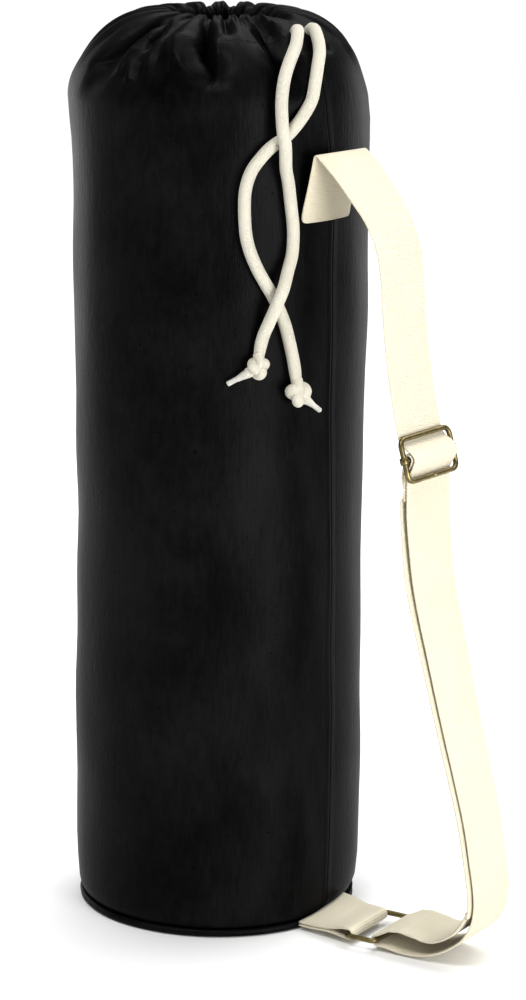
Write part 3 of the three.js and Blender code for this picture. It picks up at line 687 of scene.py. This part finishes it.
# The camera: lens, picture and columns in pixels, turns in degrees, place in metres
FOCAL, PICTURE_HEIGHT, MIDDLE_COLUMN, BAG_COLUMN, SENSOR = 3590, 1000, 263, 218.5, 36
CAMERA_HEADING, CAMERA_PITCH, CAMERA_ROLL = 42, 14, 0.4
CAMERA_DISTANCE, CAMERA_HEIGHT = 2.45, 0.9
FLOOR_RADIUS, FLOOR_LEVEL = 40, -0.0005
# Each lamp: name, heading, height and distance in metres, size, power, height that it aims at
LAMPS = [
    ("left", 176, 0.5, 2.0, (1.4, 0.9), 9, 0.3),
    ("front", -12, 0.4, 1.9, (0.85, 0.8), 27, 0.2),
    ("top", -85, 2.3, 1.2, (1.0, 0.6), 26, 0.55),
    ("right", 86, 0.5, 2.0, (1.0, 0.9), 6, 0.3),
]
# Each sun: name, heading that it shines from, degrees from upright, power
SUNS = [("behind", 102, 28, 2.7), ("overhead", -50, 15, 0.4)]
SUN_SPREAD = 60
WORLD_LIGHT, GAMMA = 0.25, 0.84


class MATBAG_OT_stage(bpy.types.Operator):
    """Camera, floor and soft studio light"""
    bl_idname = "mat_bag.stage"
    bl_label = "Stage"
    bl_options = {"REGISTER", "UNDO"}

    def execute(self, context):
        self.camera(context.scene)
        self.floor()
        self.light(context.scene)
        return {"FINISHED"}

    def camera(self, scene):
        bearing, pitch, roll = map(radians, (CAMERA_HEADING, CAMERA_PITCH, CAMERA_ROLL))
        yaw = atan((MIDDLE_COLUMN - BAG_COLUMN) / FOCAL)
        place = Vector((sin(bearing) * CAMERA_DISTANCE, -cos(bearing) * CAMERA_DISTANCE,
                        CAMERA_HEIGHT))
        camera = add(bpy.ops.object.camera_add, location=place)
        turn = (Matrix.Rotation(bearing - yaw, 4, "Z") @ Matrix.Rotation(pi / 2 - pitch, 4, "X")
                @ Matrix.Rotation(roll, 4, "Z"))
        camera.rotation_euler = turn.to_euler()
        camera.data.sensor_width = SENSOR
        camera.data.lens = FOCAL / PICTURE_HEIGHT * SENSOR
        camera.data.clip_end = 200
        scene.camera = camera

    def floor(self):
        floor = add(bpy.ops.mesh.primitive_circle_add, vertices=96, radius=FLOOR_RADIUS,
                    fill_type="NGON", location=(0, 0, FLOOR_LEVEL))
        floor.name = floor.data.name = "studio_floor"
        bpy.ops.object.transform_apply(location=True)
        floor.data.materials.append(pale_floor())

    def light(self, scene):
        scene.view_settings.view_transform = "Standard"
        scene.view_settings.look = "None"
        scene.view_settings.gamma = GAMMA
        world = bpy.data.worlds.new("studio")
        world.use_nodes = True
        colour, strength = world.node_tree.nodes["Background"].inputs[:2]
        colour.default_value, strength.default_value = (1, 1, 1, 1), WORLD_LIGHT
        scene.world = world
        for name, deg, height, distance, size, power, aim in LAMPS:
            spot = around(deg, distance, height)
            lamp = self.lamp("AREA", name, spot, power)
            lamp.data.shape = "RECTANGLE"
            lamp.data.size, lamp.data.size_y = size
            lamp.rotation_euler = (Vector((0, 0, aim)) - spot).to_track_quat("-Z", "Y").to_euler()
        for name, deg, lean, power in SUNS:
            sun = self.lamp("SUN", name, (0, 0, 3), power)
            sun.data.angle = radians(SUN_SPREAD)
            sun.rotation_euler = (radians(lean), 0, radians(deg + 90))

    def lamp(self, kind, name, place, power):
        lamp = add(bpy.ops.object.light_add, type=kind, location=place)
        lamp.name = f"light_{name}"
        lamp.data.energy = power
        return lamp


# Chosen points of the two free cord ends: angle round the bag, distance from its axis, height
LEFT_END = [
    (-6.8, 72.8, 617.5), (-6.9, 74, 622), (-7.6, 77.2, 625.6), (-9.4, 81, 625.6),
    (-11.8, 84.9, 622.5), (-14.3, 88.8, 617.9), (-17.4, 92.6, 612.9), (-20.3, 96.2, 607.6),
    (-23.1, 100, 600), (-24.8, 102.9, 592.5), (-25.8, 104.9, 581.6), (-26.3, 108.2, 571),
    (-26.6, 112, 562), (-26.3, 114, 556), (-25.9, 113, 548), (-25, 109.5, 539.5),
    (-23.2, 106.4, 528.5), (-21.7, 104.9, 513), (-20.8, 104.9, 500), (-20.7, 104.9, 490),
    (-21.5, 105.9, 480), (-23.6, 108.4, 471), (-26.3, 113, 460), (-28, 114.3, 453.5),
    (-29.6, 113, 445), (-31, 109, 435.5), (-32.6, 106.2, 426), (-33.9, 106, 414.6),
    (-34.3, 106.4, 410),
]
RIGHT_END = [
    (3.6, 72.8, 617.5), (3.5, 74, 622), (3.0, 77.4, 625.6), (1.6, 81.4, 625.2), (0.1, 85, 622.3),
    (-1.6, 89, 618), (-4.1, 93.7, 611.9), (-7.9, 98.7, 603.5), (-11.2, 102.9, 592),
    (-13.3, 104.9, 583), (-16.8, 104.9, 573.4), (-20.8, 104.9, 565.2), (-24.4, 104.9, 559.3),
    (-30, 104.9, 552.9), (-33.6, 104.9, 546.3), (-36.6, 104.9, 539.2), (-38.3, 104.9, 532),
    (-39.3, 104.9, 523.5), (-39.5, 104.9, 514), (-39.3, 104.9, 503.5), (-38.7, 104.9, 493.5),
    (-37.2, 104.9, 483.5), (-34.6, 104.9, 472.5), (-31.6, 104.9, 462.5), (-28.9, 104.9, 454.3),
    (-26.2, 104.9, 444.5), (-23.7, 104.9, 433.3), (-21.6, 104.9, 419.4), (-19.9, 105, 405.5),
    (-19.3, 106, 395.6), (-19.2, 106.6, 391),
]
CORD_STEP, KNOT_STEP = 2.5, 1.0  # between the corners along a cord and along a knot's strand
TAPER = 13  # over this length the cord narrows to the pulled strand of its knot
# Each knot's middle, the far end of its tip, its hand and its share of the common size
KNOTS = {
    "left": ((-34.4, 108.3, 406.2), (-45.4, 103.8, 394.6), 1, 1.0),
    "right": ((-19.1, 108.3, 386.6), (-7.6, 103.8, 371.6), -1, 1.14),
}


class MATBAG_OT_cords(bpy.types.Operator):
    """Drawcord ends with their knots and tips"""
    bl_idname = "mat_bag.cords"
    bl_label = "Drawcord"
    bl_options = {"REGISTER", "UNDO"}

    def execute(self, context):
        sizes = context.scene.mat_bag_cord
        cream, plastic = cream_cord(sizes.colour), clear_tip()
        for side, points in (("left", LEFT_END), ("right", RIGHT_END)):
            centre, far, hand, size = KNOTS[side]
            knot, tip = self.knot(side, polar(*centre), polar(*far), hand, size, sizes, cream, plastic)
            route = Route([polar(*p) for p in points])
            steps = route.evenly(CORD_STEP * MM)
            pulled = sizes.strand / sizes.diameter
            near_knot = 1 - TAPER * MM / route.length
            cord = tube(f"cord_{side}", steps, lambda share: sizes.diameter / 2
                        * (1 - (1 - pulled) * smooth(share, near_knot, 1)))
            own(cord, cream)
            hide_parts(f"drawcord_end_{side}")
            tuple(steps[0])
            [tuple(step) for step in steps]
        hidden = bpy.data.objects["drawcord_hidden"]
        hidden.data.materials.clear()
        hidden.data.materials.append(cream)
        return {"FINISHED"}

    def knot(self, side, centre, far, hand, size, sizes, cream, plastic):
        """A pulled overhand knot: three lobes of cord round its own middle."""
        scale, weave, first, step, steps, lobe = 1.9, 2.3, 100, 11.2, 31, 1.55
        outward = Vector((centre.x, centre.y, 0)).normalized()
        sideways = UP.cross(outward)
        away = (far - centre).normalized()
        points = [centre + UP * 9 * MM - outward * 2.2 * MM]
        for k in range(steps):
            t = radians(first + step * k)
            x, z = sin(t) + lobe * sin(2 * t), cos(t) - lobe * cos(2 * t)
            points.append(centre + (sideways * x * hand + UP * z) * scale * size * MM
                          - outward * sin(3 * t) * weave * MM)
        points.append(centre + away * 8 * size * MM - outward * 0.5 * MM)
        route = Route(points, 4)
        strand = sizes.strand / 2 * size
        knot = tube(f"knot_{side}_cord", route.evenly(KNOT_STEP * MM), strand, 14)
        own(knot, cream)
        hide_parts(f"knot_{side}")

        start = centre + away * 7.5 * size * MM
        path = [start.lerp(far, k / 14) for k in range(15)]
        tip = tube(f"tip_{side}_sleeve", path,
                   lambda share: (3.2 - 1.3 * smooth(share, 0.05, 0.65)) * MM, 14)
        own(tip, plastic)
        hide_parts(f"tip_{side}")
        return knot, tip


class MATBAG_OT_bag(bpy.types.Operator):
    """Black cotton bag with its gathered mouth"""
    bl_idname = "mat_bag.bag"
    bl_label = "Cotton Bag"
    bl_options = {"REGISTER", "UNDO"}

    def execute(self, context):
        sizes = context.scene.mat_bag_bag
        cloth = Cloth(sizes)
        rows = bag_rows()
        per_fold = 20
        start, measured = 5, 3.5  # in folds: where the grid starts, and where its rows are measured
        columns = per_fold * len(FOLDS)
        lengths = [0.0]
        for a, b in zip(rows, rows[1:]):
            step = cloth.spot(measured, b) - cloth.spot(measured, a)
            lengths.append(lengths[-1] + step.length)
        bag = surface("cotton_bag", columns, len(rows) - 1,
                      lambda i, j: cloth.spot(i / per_fold + start, rows[j]),
                      closed=True, uv=lambda i, j: (i / columns * ROUND, lengths[j]))
        modify(bag, "SOLIDIFY", thickness=sizes.cloth, offset=-1)
        hem = lengths[rows.index(("shoulder", HEM_TURN))]
        own(bag, black_cotton(sizes.colour, hem))
        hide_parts("bag_body")
        return {"FINISHED"}


class MATBAG_OT_base(bpy.types.Operator):
    """Round bottom and its seam roll"""
    bl_idname = "mat_bag.base"
    bl_label = "Base"
    bl_options = {"REGISTER", "UNDO"}

    def execute(self, context):
        black = bpy.data.materials["black cotton"]
        self.roll(black)
        self.disc(black)
        return {"FINISHED"}

    def roll(self, black):
        sides, columns, pucker_height = 12, 240, 0.25
        middle, half = (WELT_OUTER + WELT_INNER) / 2, (WELT_OUTER - WELT_INNER) / 2

        def spot(i, j):
            deg = 360 * i / columns
            turn = 2 * pi * j / sides
            pucker = pucker_height * (noise.noise(around(deg, 14, 2)) - 1)
            x, z = cos(turn), sin(turn)
            reach = 1 / max(abs(x), abs(z), (abs(x) ** 3 + abs(z) ** 3) ** (1 / 3))
            tuck = 0.8 * corner_tuck(deg, 0) * max(0.0, x)
            return polar(deg, middle + (half + pucker) * x * reach - tuck,
                         WELT_HEIGHT / 2 * (1 + z * reach))

        welt = surface("seam_roll", columns, sides, spot, closed=True,
                       uv=lambda i, j: (i / columns * ROUND, 0.02 * j / sides))
        own(welt, black)
        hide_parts("base_welt")

    def disc(self, black):
        rings, spokes, level, thickness = 24, 96, 1.7, 1.4

        def spot(i, j):
            deg, r = 360 * i / spokes, (WELT_INNER - SEAM_GAP) * j / rings
            return polar(deg, r, level + 0.2 * noise.noise(around(deg, r / 30, 5)))

        def flat(i, j):
            place = around(360 * i / spokes, WELT_INNER * j / rings)
            return (place.x + BAG_RADIUS) * MM, (place.y + BAG_RADIUS) * MM

        panel = surface("base_cloth", spokes, rings, spot, closed=True, uv=flat)
        modify(panel, "SOLIDIFY", thickness=thickness * MM, offset=-1)
        own(panel, black)
        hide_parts("base_panel")


# The strap's middle line: share of the reach, of the ridge height and of the width to the side
STRAP_RUN = [
    (0.098, 0.999, -0.1), (0.140, 0.991, -0.095), (0.222, 0.973, -0.085), (0.312, 0.948, -0.065),
    (0.370, 0.931, -0.05), (0.415, 0.913, -0.04), (0.442, 0.898, -0.03), (0.460, 0.879, -0.02),
    (0.469, 0.856, 0.005), (0.473, 0.823, 0.03), (0.480, 0.786, 0.06), (0.495, 0.746, 0.095),
    (0.519, 0.704, 0.13), (0.549, 0.668, 0.157), (0.576, 0.643, 0.168), (0.603, 0.619, 0.179),
    (0.606, 0.594, 0.18), (0.608, 0.570, 0.18), (0.617, 0.545, 0.182), (0.654, 0.475, 0.201),
    (0.740, 0.388, 0.236), (0.832, 0.300, 0.274), (0.898, 0.241, 0.304), (0.956, 0.185, 0.332),
    (0.992, 0.137, 0.348), (1.014, 0.106, 0.355), (1.020, 0.082, 0.355), (1.004, 0.060, 0.346),
    (0.955, 0.039, 0.327), (0.865, 0.021, 0.295), (0.772, 0.0095, 0.254), (0.673, 0.0040, 0.21),
    (0.581, 0.0035, 0.169),
]
# The run back from the ring: share of the way below the slider, gap to the outer run in layers
INNER_SPACING = [
    (0.07, 2.45), (0.13, 2.1), (0.35, 1.6), (0.63, 1.35), (0.735, 1.4), (0.767, 2), (0.797, 3),
    (0.829, 3.5), (0.862, 4), (0.896, 5.25), (0.929, 7), (0.959, 7.5), (0.98, 6.5),
]
# The sewn patch: share of its rise, share of its way out to the ridge, how far it follows the wall
PATCH = [
    (0, 0, 1), (0.006, 0, 1), (0.02, 0, 1), (0.045, 0, 1), (0.08, 0.01, 1), (0.14, 0.06, 1),
    (0.24, 0.16, 0.9), (0.36, 0.29, 0.7), (0.5, 0.45, 0.5), (0.68, 0.65, 0.3), (0.86, 0.86, 0.12),
]
# The run up into the slider, behind its bar: height in half rises of the slider, share of its depth
INTO_SLIDER = [
    (-1.4, 1), (-1.2, 1), (-1, 1), (-0.85, 0.95), (-0.7, 0.85), (-0.55, 0.66), (-0.4, 0.45),
    (-0.28, 0.26), (-0.15, 0.1),
]
# How far the strap stands out, and the heights of its ridge, its sewn end and its slider
REACH, RIDGE, ANCHOR, SLIDER = 131.7, 547.0, 500.5, 348.6
RIDGE_YAW, STRAP_YAW = -2.0, 9.5
RIDGE_TURNS = (-76, -56, -34, -12, 8, 24)  # degrees from upright round the fold at the ridge
STRAY = 3.2  # how far the run back lies aside
WIRE, WEB, PLY_GAP = 3.9, 2.0, 0.45
SIDE_CLEARANCE, COLLAR_GAP, COLLAR_WALL = 0.3, 0.25, 0.95
BAR_RISE = 13.8  # half the slider's height
WRAP = WIRE / 2 + WEB / 2 + PLY_GAP  # from a bar's middle to the middle of the webbing round it
LAYER = WEB + PLY_GAP
BUMP = 2 * WRAP + LAYER
TAIL = 28.0
RING_LENGTH, RING_RISE = 23, 11.5
UP = Vector((0, 0, 1))
RING_WAY, RING_SIDE = around(STRAP_YAW, 1), around(STRAP_YAW + 90, 1)
INNER_BAR = Vector((137, 0.025 * 49.5, 7.5))
OUTER_BAR = INNER_BAR + RING_WAY * RING_LENGTH


def turned(toward, turn, start):
    """start, turned by so many degrees towards another direction at a right angle to it."""
    return toward * sin(radians(turn)) + start * cos(radians(turn))


class Strap:
    """The strap's stations in millimetres: middle, width direction, facing and bow."""

    def __init__(self, width):
        self.width = width
        rows = [Vector((BAG_RADIUS + out * REACH, aside * width, up * RIDGE))
                for out, up, aside in STRAP_RUN]
        under = OUTER_BAR - UP * WRAP
        self.line = Route([*rows, under + RING_WAY * 2 * WIRE - UP * WEB / 3, under])
        low, high = 0.0, self.line.length
        while high - low > 0.01:
            middle = (low + high) / 2
            low, high = (middle, high) if self.line.at(middle).z > SLIDER else (low, middle)
        self.slider_at = low
        self.below = self.line.length - low
        self.at_slider, self.side, self.face = self.spot(low)
        self.up = self.face.cross(self.side)

    def spot(self, distance, lift=0.0):
        """Middle, width direction and facing of the outer run, lifted off it."""
        middle = self.line.at(distance)
        down = RIDGE - middle.z
        yaw = (RIDGE_YAW + 7 * smooth(down, 0, 60) - smooth(down, 90, 190)
               + 5.5 * smooth(down, 220, 450))
        side = around(yaw + 90, 1)
        face = self.line.heading(distance, 1.0).cross(side).normalized()
        return middle + face * lift, side, face

    @staticmethod
    def lift(v):
        """How far the outer run stands off its line where it passes over the slider's bar."""
        return BUMP * cos(pi * v / (2 * BAR_RISE)) ** 2 if abs(v) < BAR_RISE else 0.0

    def over_bump(self, v, under):
        """A station at height v from the bar, so far under the outer run."""
        steep = self.lift(v + 0.5) - self.lift(v - 0.5)
        at, _side, face = self.spot(self.slider_at - v, self.lift(v) - under * hypot(1, steep))
        return at, self.side, (face - self.up * steep).normalized()

    def in_slider(self, v, n, w=0.0):
        """A place from the slider's middle: upward, outward and to the side."""
        return self.at_slider + self.up * v + self.face * n + self.side * w

    def path(self):
        """Stations of the whole run, in order, at uneven steps."""
        ridge, _side, face = self.spot(0)
        ridge_way, ridge_side = around(RIDGE_YAW, 1), around(RIDGE_YAW + 90, 1)
        fold = ridge - face * WEB
        start = fold + turned(ridge_way, RIDGE_TURNS[0], UP) * WEB
        sag = BAG_RADIUS - sqrt(BAG_RADIUS ** 2 - (self.width / 4) ** 2)
        stand = BAG_RADIUS + 0.2 + WEB / 2 + sag
        stations = []
        for rise, out, bow in PATCH:
            x = stand + (start.x - stand) * out
            z = ANCHOR + (start.z - ANCHOR) * rise
            side = around(RIDGE_YAW * rise + 90, 1)
            stations.append((Vector((x, start.y, z)), side, Vector((-1, 0, 0)), bow))
        for turn in RIDGE_TURNS:
            way = turned(ridge_way, turn, UP)
            stations.append((fold + way * WEB, ridge_side, way, 0))
        top = self.slider_at - 1.4 * BAR_RISE
        stations += [(*self.spot(top * k / 60), 0) for k in range(60)]
        stations += [(*self.over_bump(v * BAR_RISE / 20, 0), 0) for v in range(28, -29, -1)]
        first, last = 1.4 * BAR_RISE / self.below, 0.985
        stations += [(*self.spot(self.slider_at + (first + (last - first) * k / 150) * self.below), 0)
                     for k in range(1, 151)]
        for turn in range(0, 181, 12):
            way = turned(-RING_WAY, turn, -UP)
            stations.append((OUTER_BAR + way * WRAP, RING_SIDE, way, 0))
        inner = Route([(share, gap * WEB, 0) for share, gap in INNER_SPACING], 12)
        for k in range(130, -1, -1):
            share, gap, _ = inner.points[round(k / 130 * (len(inner.points) - 1))]
            at, side, face = self.spot(self.slider_at + share * self.below, -gap)
            stray = -STRAY * smooth(share, 0.05, 0.2) * smooth(share, 0.98, 0.85)
            stations.append((at + side * stray, side, -face, 0))
        for v, deep in INTO_SLIDER:
            at = self.in_slider(v * BAR_RISE, -2 * LAYER * deep)
            stations.append((at, self.side, -self.face, 0))
        for turn in range(20, 156, 9):
            way = turned(self.up, turn, -self.face)
            stations.append((self.in_slider(0, WRAP) + way * WRAP, self.side, way, 0))
        for v in range(0, 29):
            stations.append((*self.over_bump(-v * BAR_RISE / 20, LAYER), 0))
        for v in (-1.6, -1.8, -TAIL / BAR_RISE):
            stations.append((*self.over_bump(v * BAR_RISE, LAYER), 0))
        return stations


def webbing(name, stations, width, thickness, corner=0.0):
    """Flat webbing with soft edges through stations; corner rounds its first end."""
    half, deep = width / 2, thickness / 2
    inset = deep * 0.9
    across = [-half + inset + (width - 2 * inset) * k / 12 for k in range(13)]
    section = [(w, deep) for w in across] + [(half, deep * 0.35), (half, -deep * 0.35)]
    section += [(w, -deep) for w in reversed(across)] + [(-half, -deep * 0.35), (-half, deep * 0.35)]
    count = len(section)
    run = [0.0]
    for (a, *_), (b, *_) in zip(stations, stations[1:]):
        run.append(run[-1] + (b - a).length)

    def spot(i, j):
        at, side, face, bow = stations[j]
        w, n = section[i % count]
        if run[j] < corner:
            w *= 1 - (corner - sqrt(corner ** 2 - (corner - run[j]) ** 2)) / half
        sag = bow * (sqrt(BAG_RADIUS ** 2 - w * w) - BAG_RADIUS)
        return (at + side * w + face * n + Vector((sag, 0, 0))) * MM

    def uv(i, j):
        return (section[i][0] + half) * MM if i < count else 0.0, run[j] * MM

    return surface(name, count, len(stations) - 1, spot, closed=True, capped=True, uv=uv)


class MATBAG_OT_strap(bpy.types.Operator):
    """Webbing strap and the ring's tab"""
    bl_idname = "mat_bag.strap"
    bl_label = "Strap"
    bl_options = {"REGISTER", "UNDO"}

    def execute(self, context):
        sizes = context.scene.mat_bag_strap
        width, thickness = sizes.width / MM, sizes.thickness / MM
        cream = cream_webbing(sizes.colour)
        strap = webbing("strap", Strap(width).path(), width, thickness, corner=3.6)
        own(strap, cream)
        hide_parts("strap_webbing")
        tab = webbing("tab", self.tab(width), width, thickness)
        own(tab, cream)
        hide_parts("ring_tab")
        return {"FINISHED"}

    def tab(self, width):
        """Stations of the tab: out from the wall below, round the ring's inner bar and back above."""
        sewn, level, drop, tilt = 1.05, 8.6, 1.1, 0.18  # at the wall: half gap, height, fall, tilt
        root = BAG_RADIUS + BAG_RADIUS - sqrt(BAG_RADIUS ** 2 - (width / 4) ** 2)
        stations = []

        def ply(share, way):
            grown = smooth(share, 0, 1)
            apart = sewn + (WRAP - sewn) * smooth(share, 0.5, 0.98)
            at = Vector((root + (INNER_BAR.x - root) * share, INNER_BAR.y * share,
                         level - drop * grown))
            side = (around(STRAP_YAW * grown + 90, 1) + UP * tilt * (1 - grown)).normalized()
            stations.append((at + way * apart, side, way, 1 - grown))

        shares = [k / 14 * 0.9 for k in range(15)]
        for share in shares:
            ply(share, -UP)
        for turn in range(0, 181, 12):
            way = turned(RING_WAY, turn, -UP)
            stations.append((INNER_BAR + way * WRAP, RING_SIDE, way, 0))
        for share in reversed(shares):
            ply(share, UP)
        return stations


def wire_frame(name, place, half_width, half_rise, wire, corner=3.5):
    """A bent wire rectangle whose ends meet on one long side."""
    seam, bends = 0.15, 8  # half the gap between the wire's ends, and the steps of a corner
    points = [(seam, -half_rise)]
    x, y = half_width - corner, half_rise - corner
    for middle_x, middle_y, start in ((x, -y, -90), (x, y, 0), (-x, y, 90), (-x, -y, 180)):
        for k in range(bends + 1):
            turn = radians(start + 90 * k / bends)
            points.append((middle_x + corner * cos(turn), middle_y + corner * sin(turn)))
    points.append((-seam, -half_rise))
    dense = [Vector(place(*points[0]))]
    for a, b in zip(points, points[1:]):
        steps = max(1, round(dist(a, b) / 2.0))
        dense += [Vector(place(a[0] + (b[0] - a[0]) * k / steps, a[1] + (b[1] - a[1]) * k / steps))
                  for k in range(1, steps + 1)]
    return tube(name, [p * MM for p in dense], wire / 2 * MM, 16)


class MATBAG_OT_hardware(bpy.types.Operator):
    """Slider and ring of bent wire"""
    bl_idname = "mat_bag.hardware"
    bl_label = "Hardware"
    bl_options = {"REGISTER", "UNDO"}

    def execute(self, context):
        sizes = context.scene.mat_bag_hardware
        brass = antique_brass(sizes.colour)
        wire = sizes.wire / MM
        strap = Strap(context.scene.mat_bag_strap.width / MM)
        half = strap.width / 2 + SIDE_CLEARANCE + wire / 2 + COLLAR_GAP + COLLAR_WALL

        outer = wire_frame("slider_wire", lambda w, v: strap.in_slider(v, WRAP, w),
                           half, BAR_RISE + 0.5, wire, corner=5.2)
        own(outer, brass)
        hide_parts("slider_frame")

        collar, inner = wire / 2 + COLLAR_GAP + COLLAR_WALL, wire / 2 + 0.2
        sides, collar_rise, short = 24, 2.3, 1.9  # the bar ends so far short of the frame's middle
        bar = tube("centre_bar", [strap.in_slider(0, WRAP, (half - short) * (k / 10 - 1)) * MM
                                  for k in range(21)], wire / 2 * MM, 16)
        profile = [(inner, -0.9), (collar - 0.3, -1), (collar, -0.7), (collar, 0.7), (collar - 0.3, 1),
                   (inner, 0.9)]
        for side in (-1, 1):
            def spot(i, j, side=side):
                turn = 2 * pi * i / sides
                r, v = profile[j % len(profile)]
                return strap.in_slider(v * collar_rise, WRAP + r * sin(turn),
                                       side * half + r * cos(turn)) * MM

            end = surface(f"bar_end_{side}", sides, len(profile), spot, closed=True)
            deselect()
            end.select_set(True)
            bar.select_set(True)
            bpy.context.view_layer.objects.active = bar
            bpy.ops.object.join()
        own(bar, brass)
        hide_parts("slider_bar")

        middle = (INNER_BAR + OUTER_BAR) / 2
        ring = wire_frame("strap_ring", lambda w, v: middle + RING_SIDE * w + RING_WAY * v,
                          strap.width / 2 + 2 * SIDE_CLEARANCE + wire / 2, RING_RISE, wire)
        own(ring, brass)
        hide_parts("ring")
        return {"FINISHED"}


class MATBAG_PT_panel(bpy.types.Panel):
    """Sizes, colours and the operators in their order"""
    bl_label = "Mat Bag"
    bl_idname = "MATBAG_PT_panel"
    bl_space_type = "VIEW_3D"
    bl_region_type = "UI"
    bl_category = "Mat Bag"

    def draw(self, context):
        for group in ("bag", "cord", "strap", "hardware"):
            settings = getattr(context.scene, f"mat_bag_{group}")
            box = self.layout.box()
            box.label(text=settings.bl_rna.description)
            for key in settings.__annotations__:
                box.prop(settings, key)
        for operator in OPERATORS:
            self.layout.operator(operator.bl_idname)


GROUPS = {"bag": BagSizes, "cord": CordSizes, "strap": StrapSizes, "hardware": HardwareSizes}
OPERATORS = [MATBAG_OT_stage, MATBAG_OT_cords, MATBAG_OT_bag, MATBAG_OT_base, MATBAG_OT_strap,
             MATBAG_OT_hardware]


def register():
    for cls in (*GROUPS.values(), *OPERATORS, MATBAG_PT_panel):
        bpy.utils.register_class(cls)
    for name, group in GROUPS.items():
        setattr(bpy.types.Scene, f"mat_bag_{name}", bpy.props.PointerProperty(type=group))


def unregister():
    for name in GROUPS:
        delattr(bpy.types.Scene, f"mat_bag_{name}")
    for cls in (MATBAG_PT_panel, *reversed(OPERATORS), *GROUPS.values()):
        bpy.utils.unregister_class(cls)


def main():
    register()
    bpy.ops.mat_bag.stage()
    bpy.ops.mat_bag.cords()
    bpy.ops.mat_bag.bag()
    bpy.ops.mat_bag.base()
    bpy.ops.mat_bag.strap()
    bpy.ops.mat_bag.hardware()


if __name__ == "__main__":
    main()
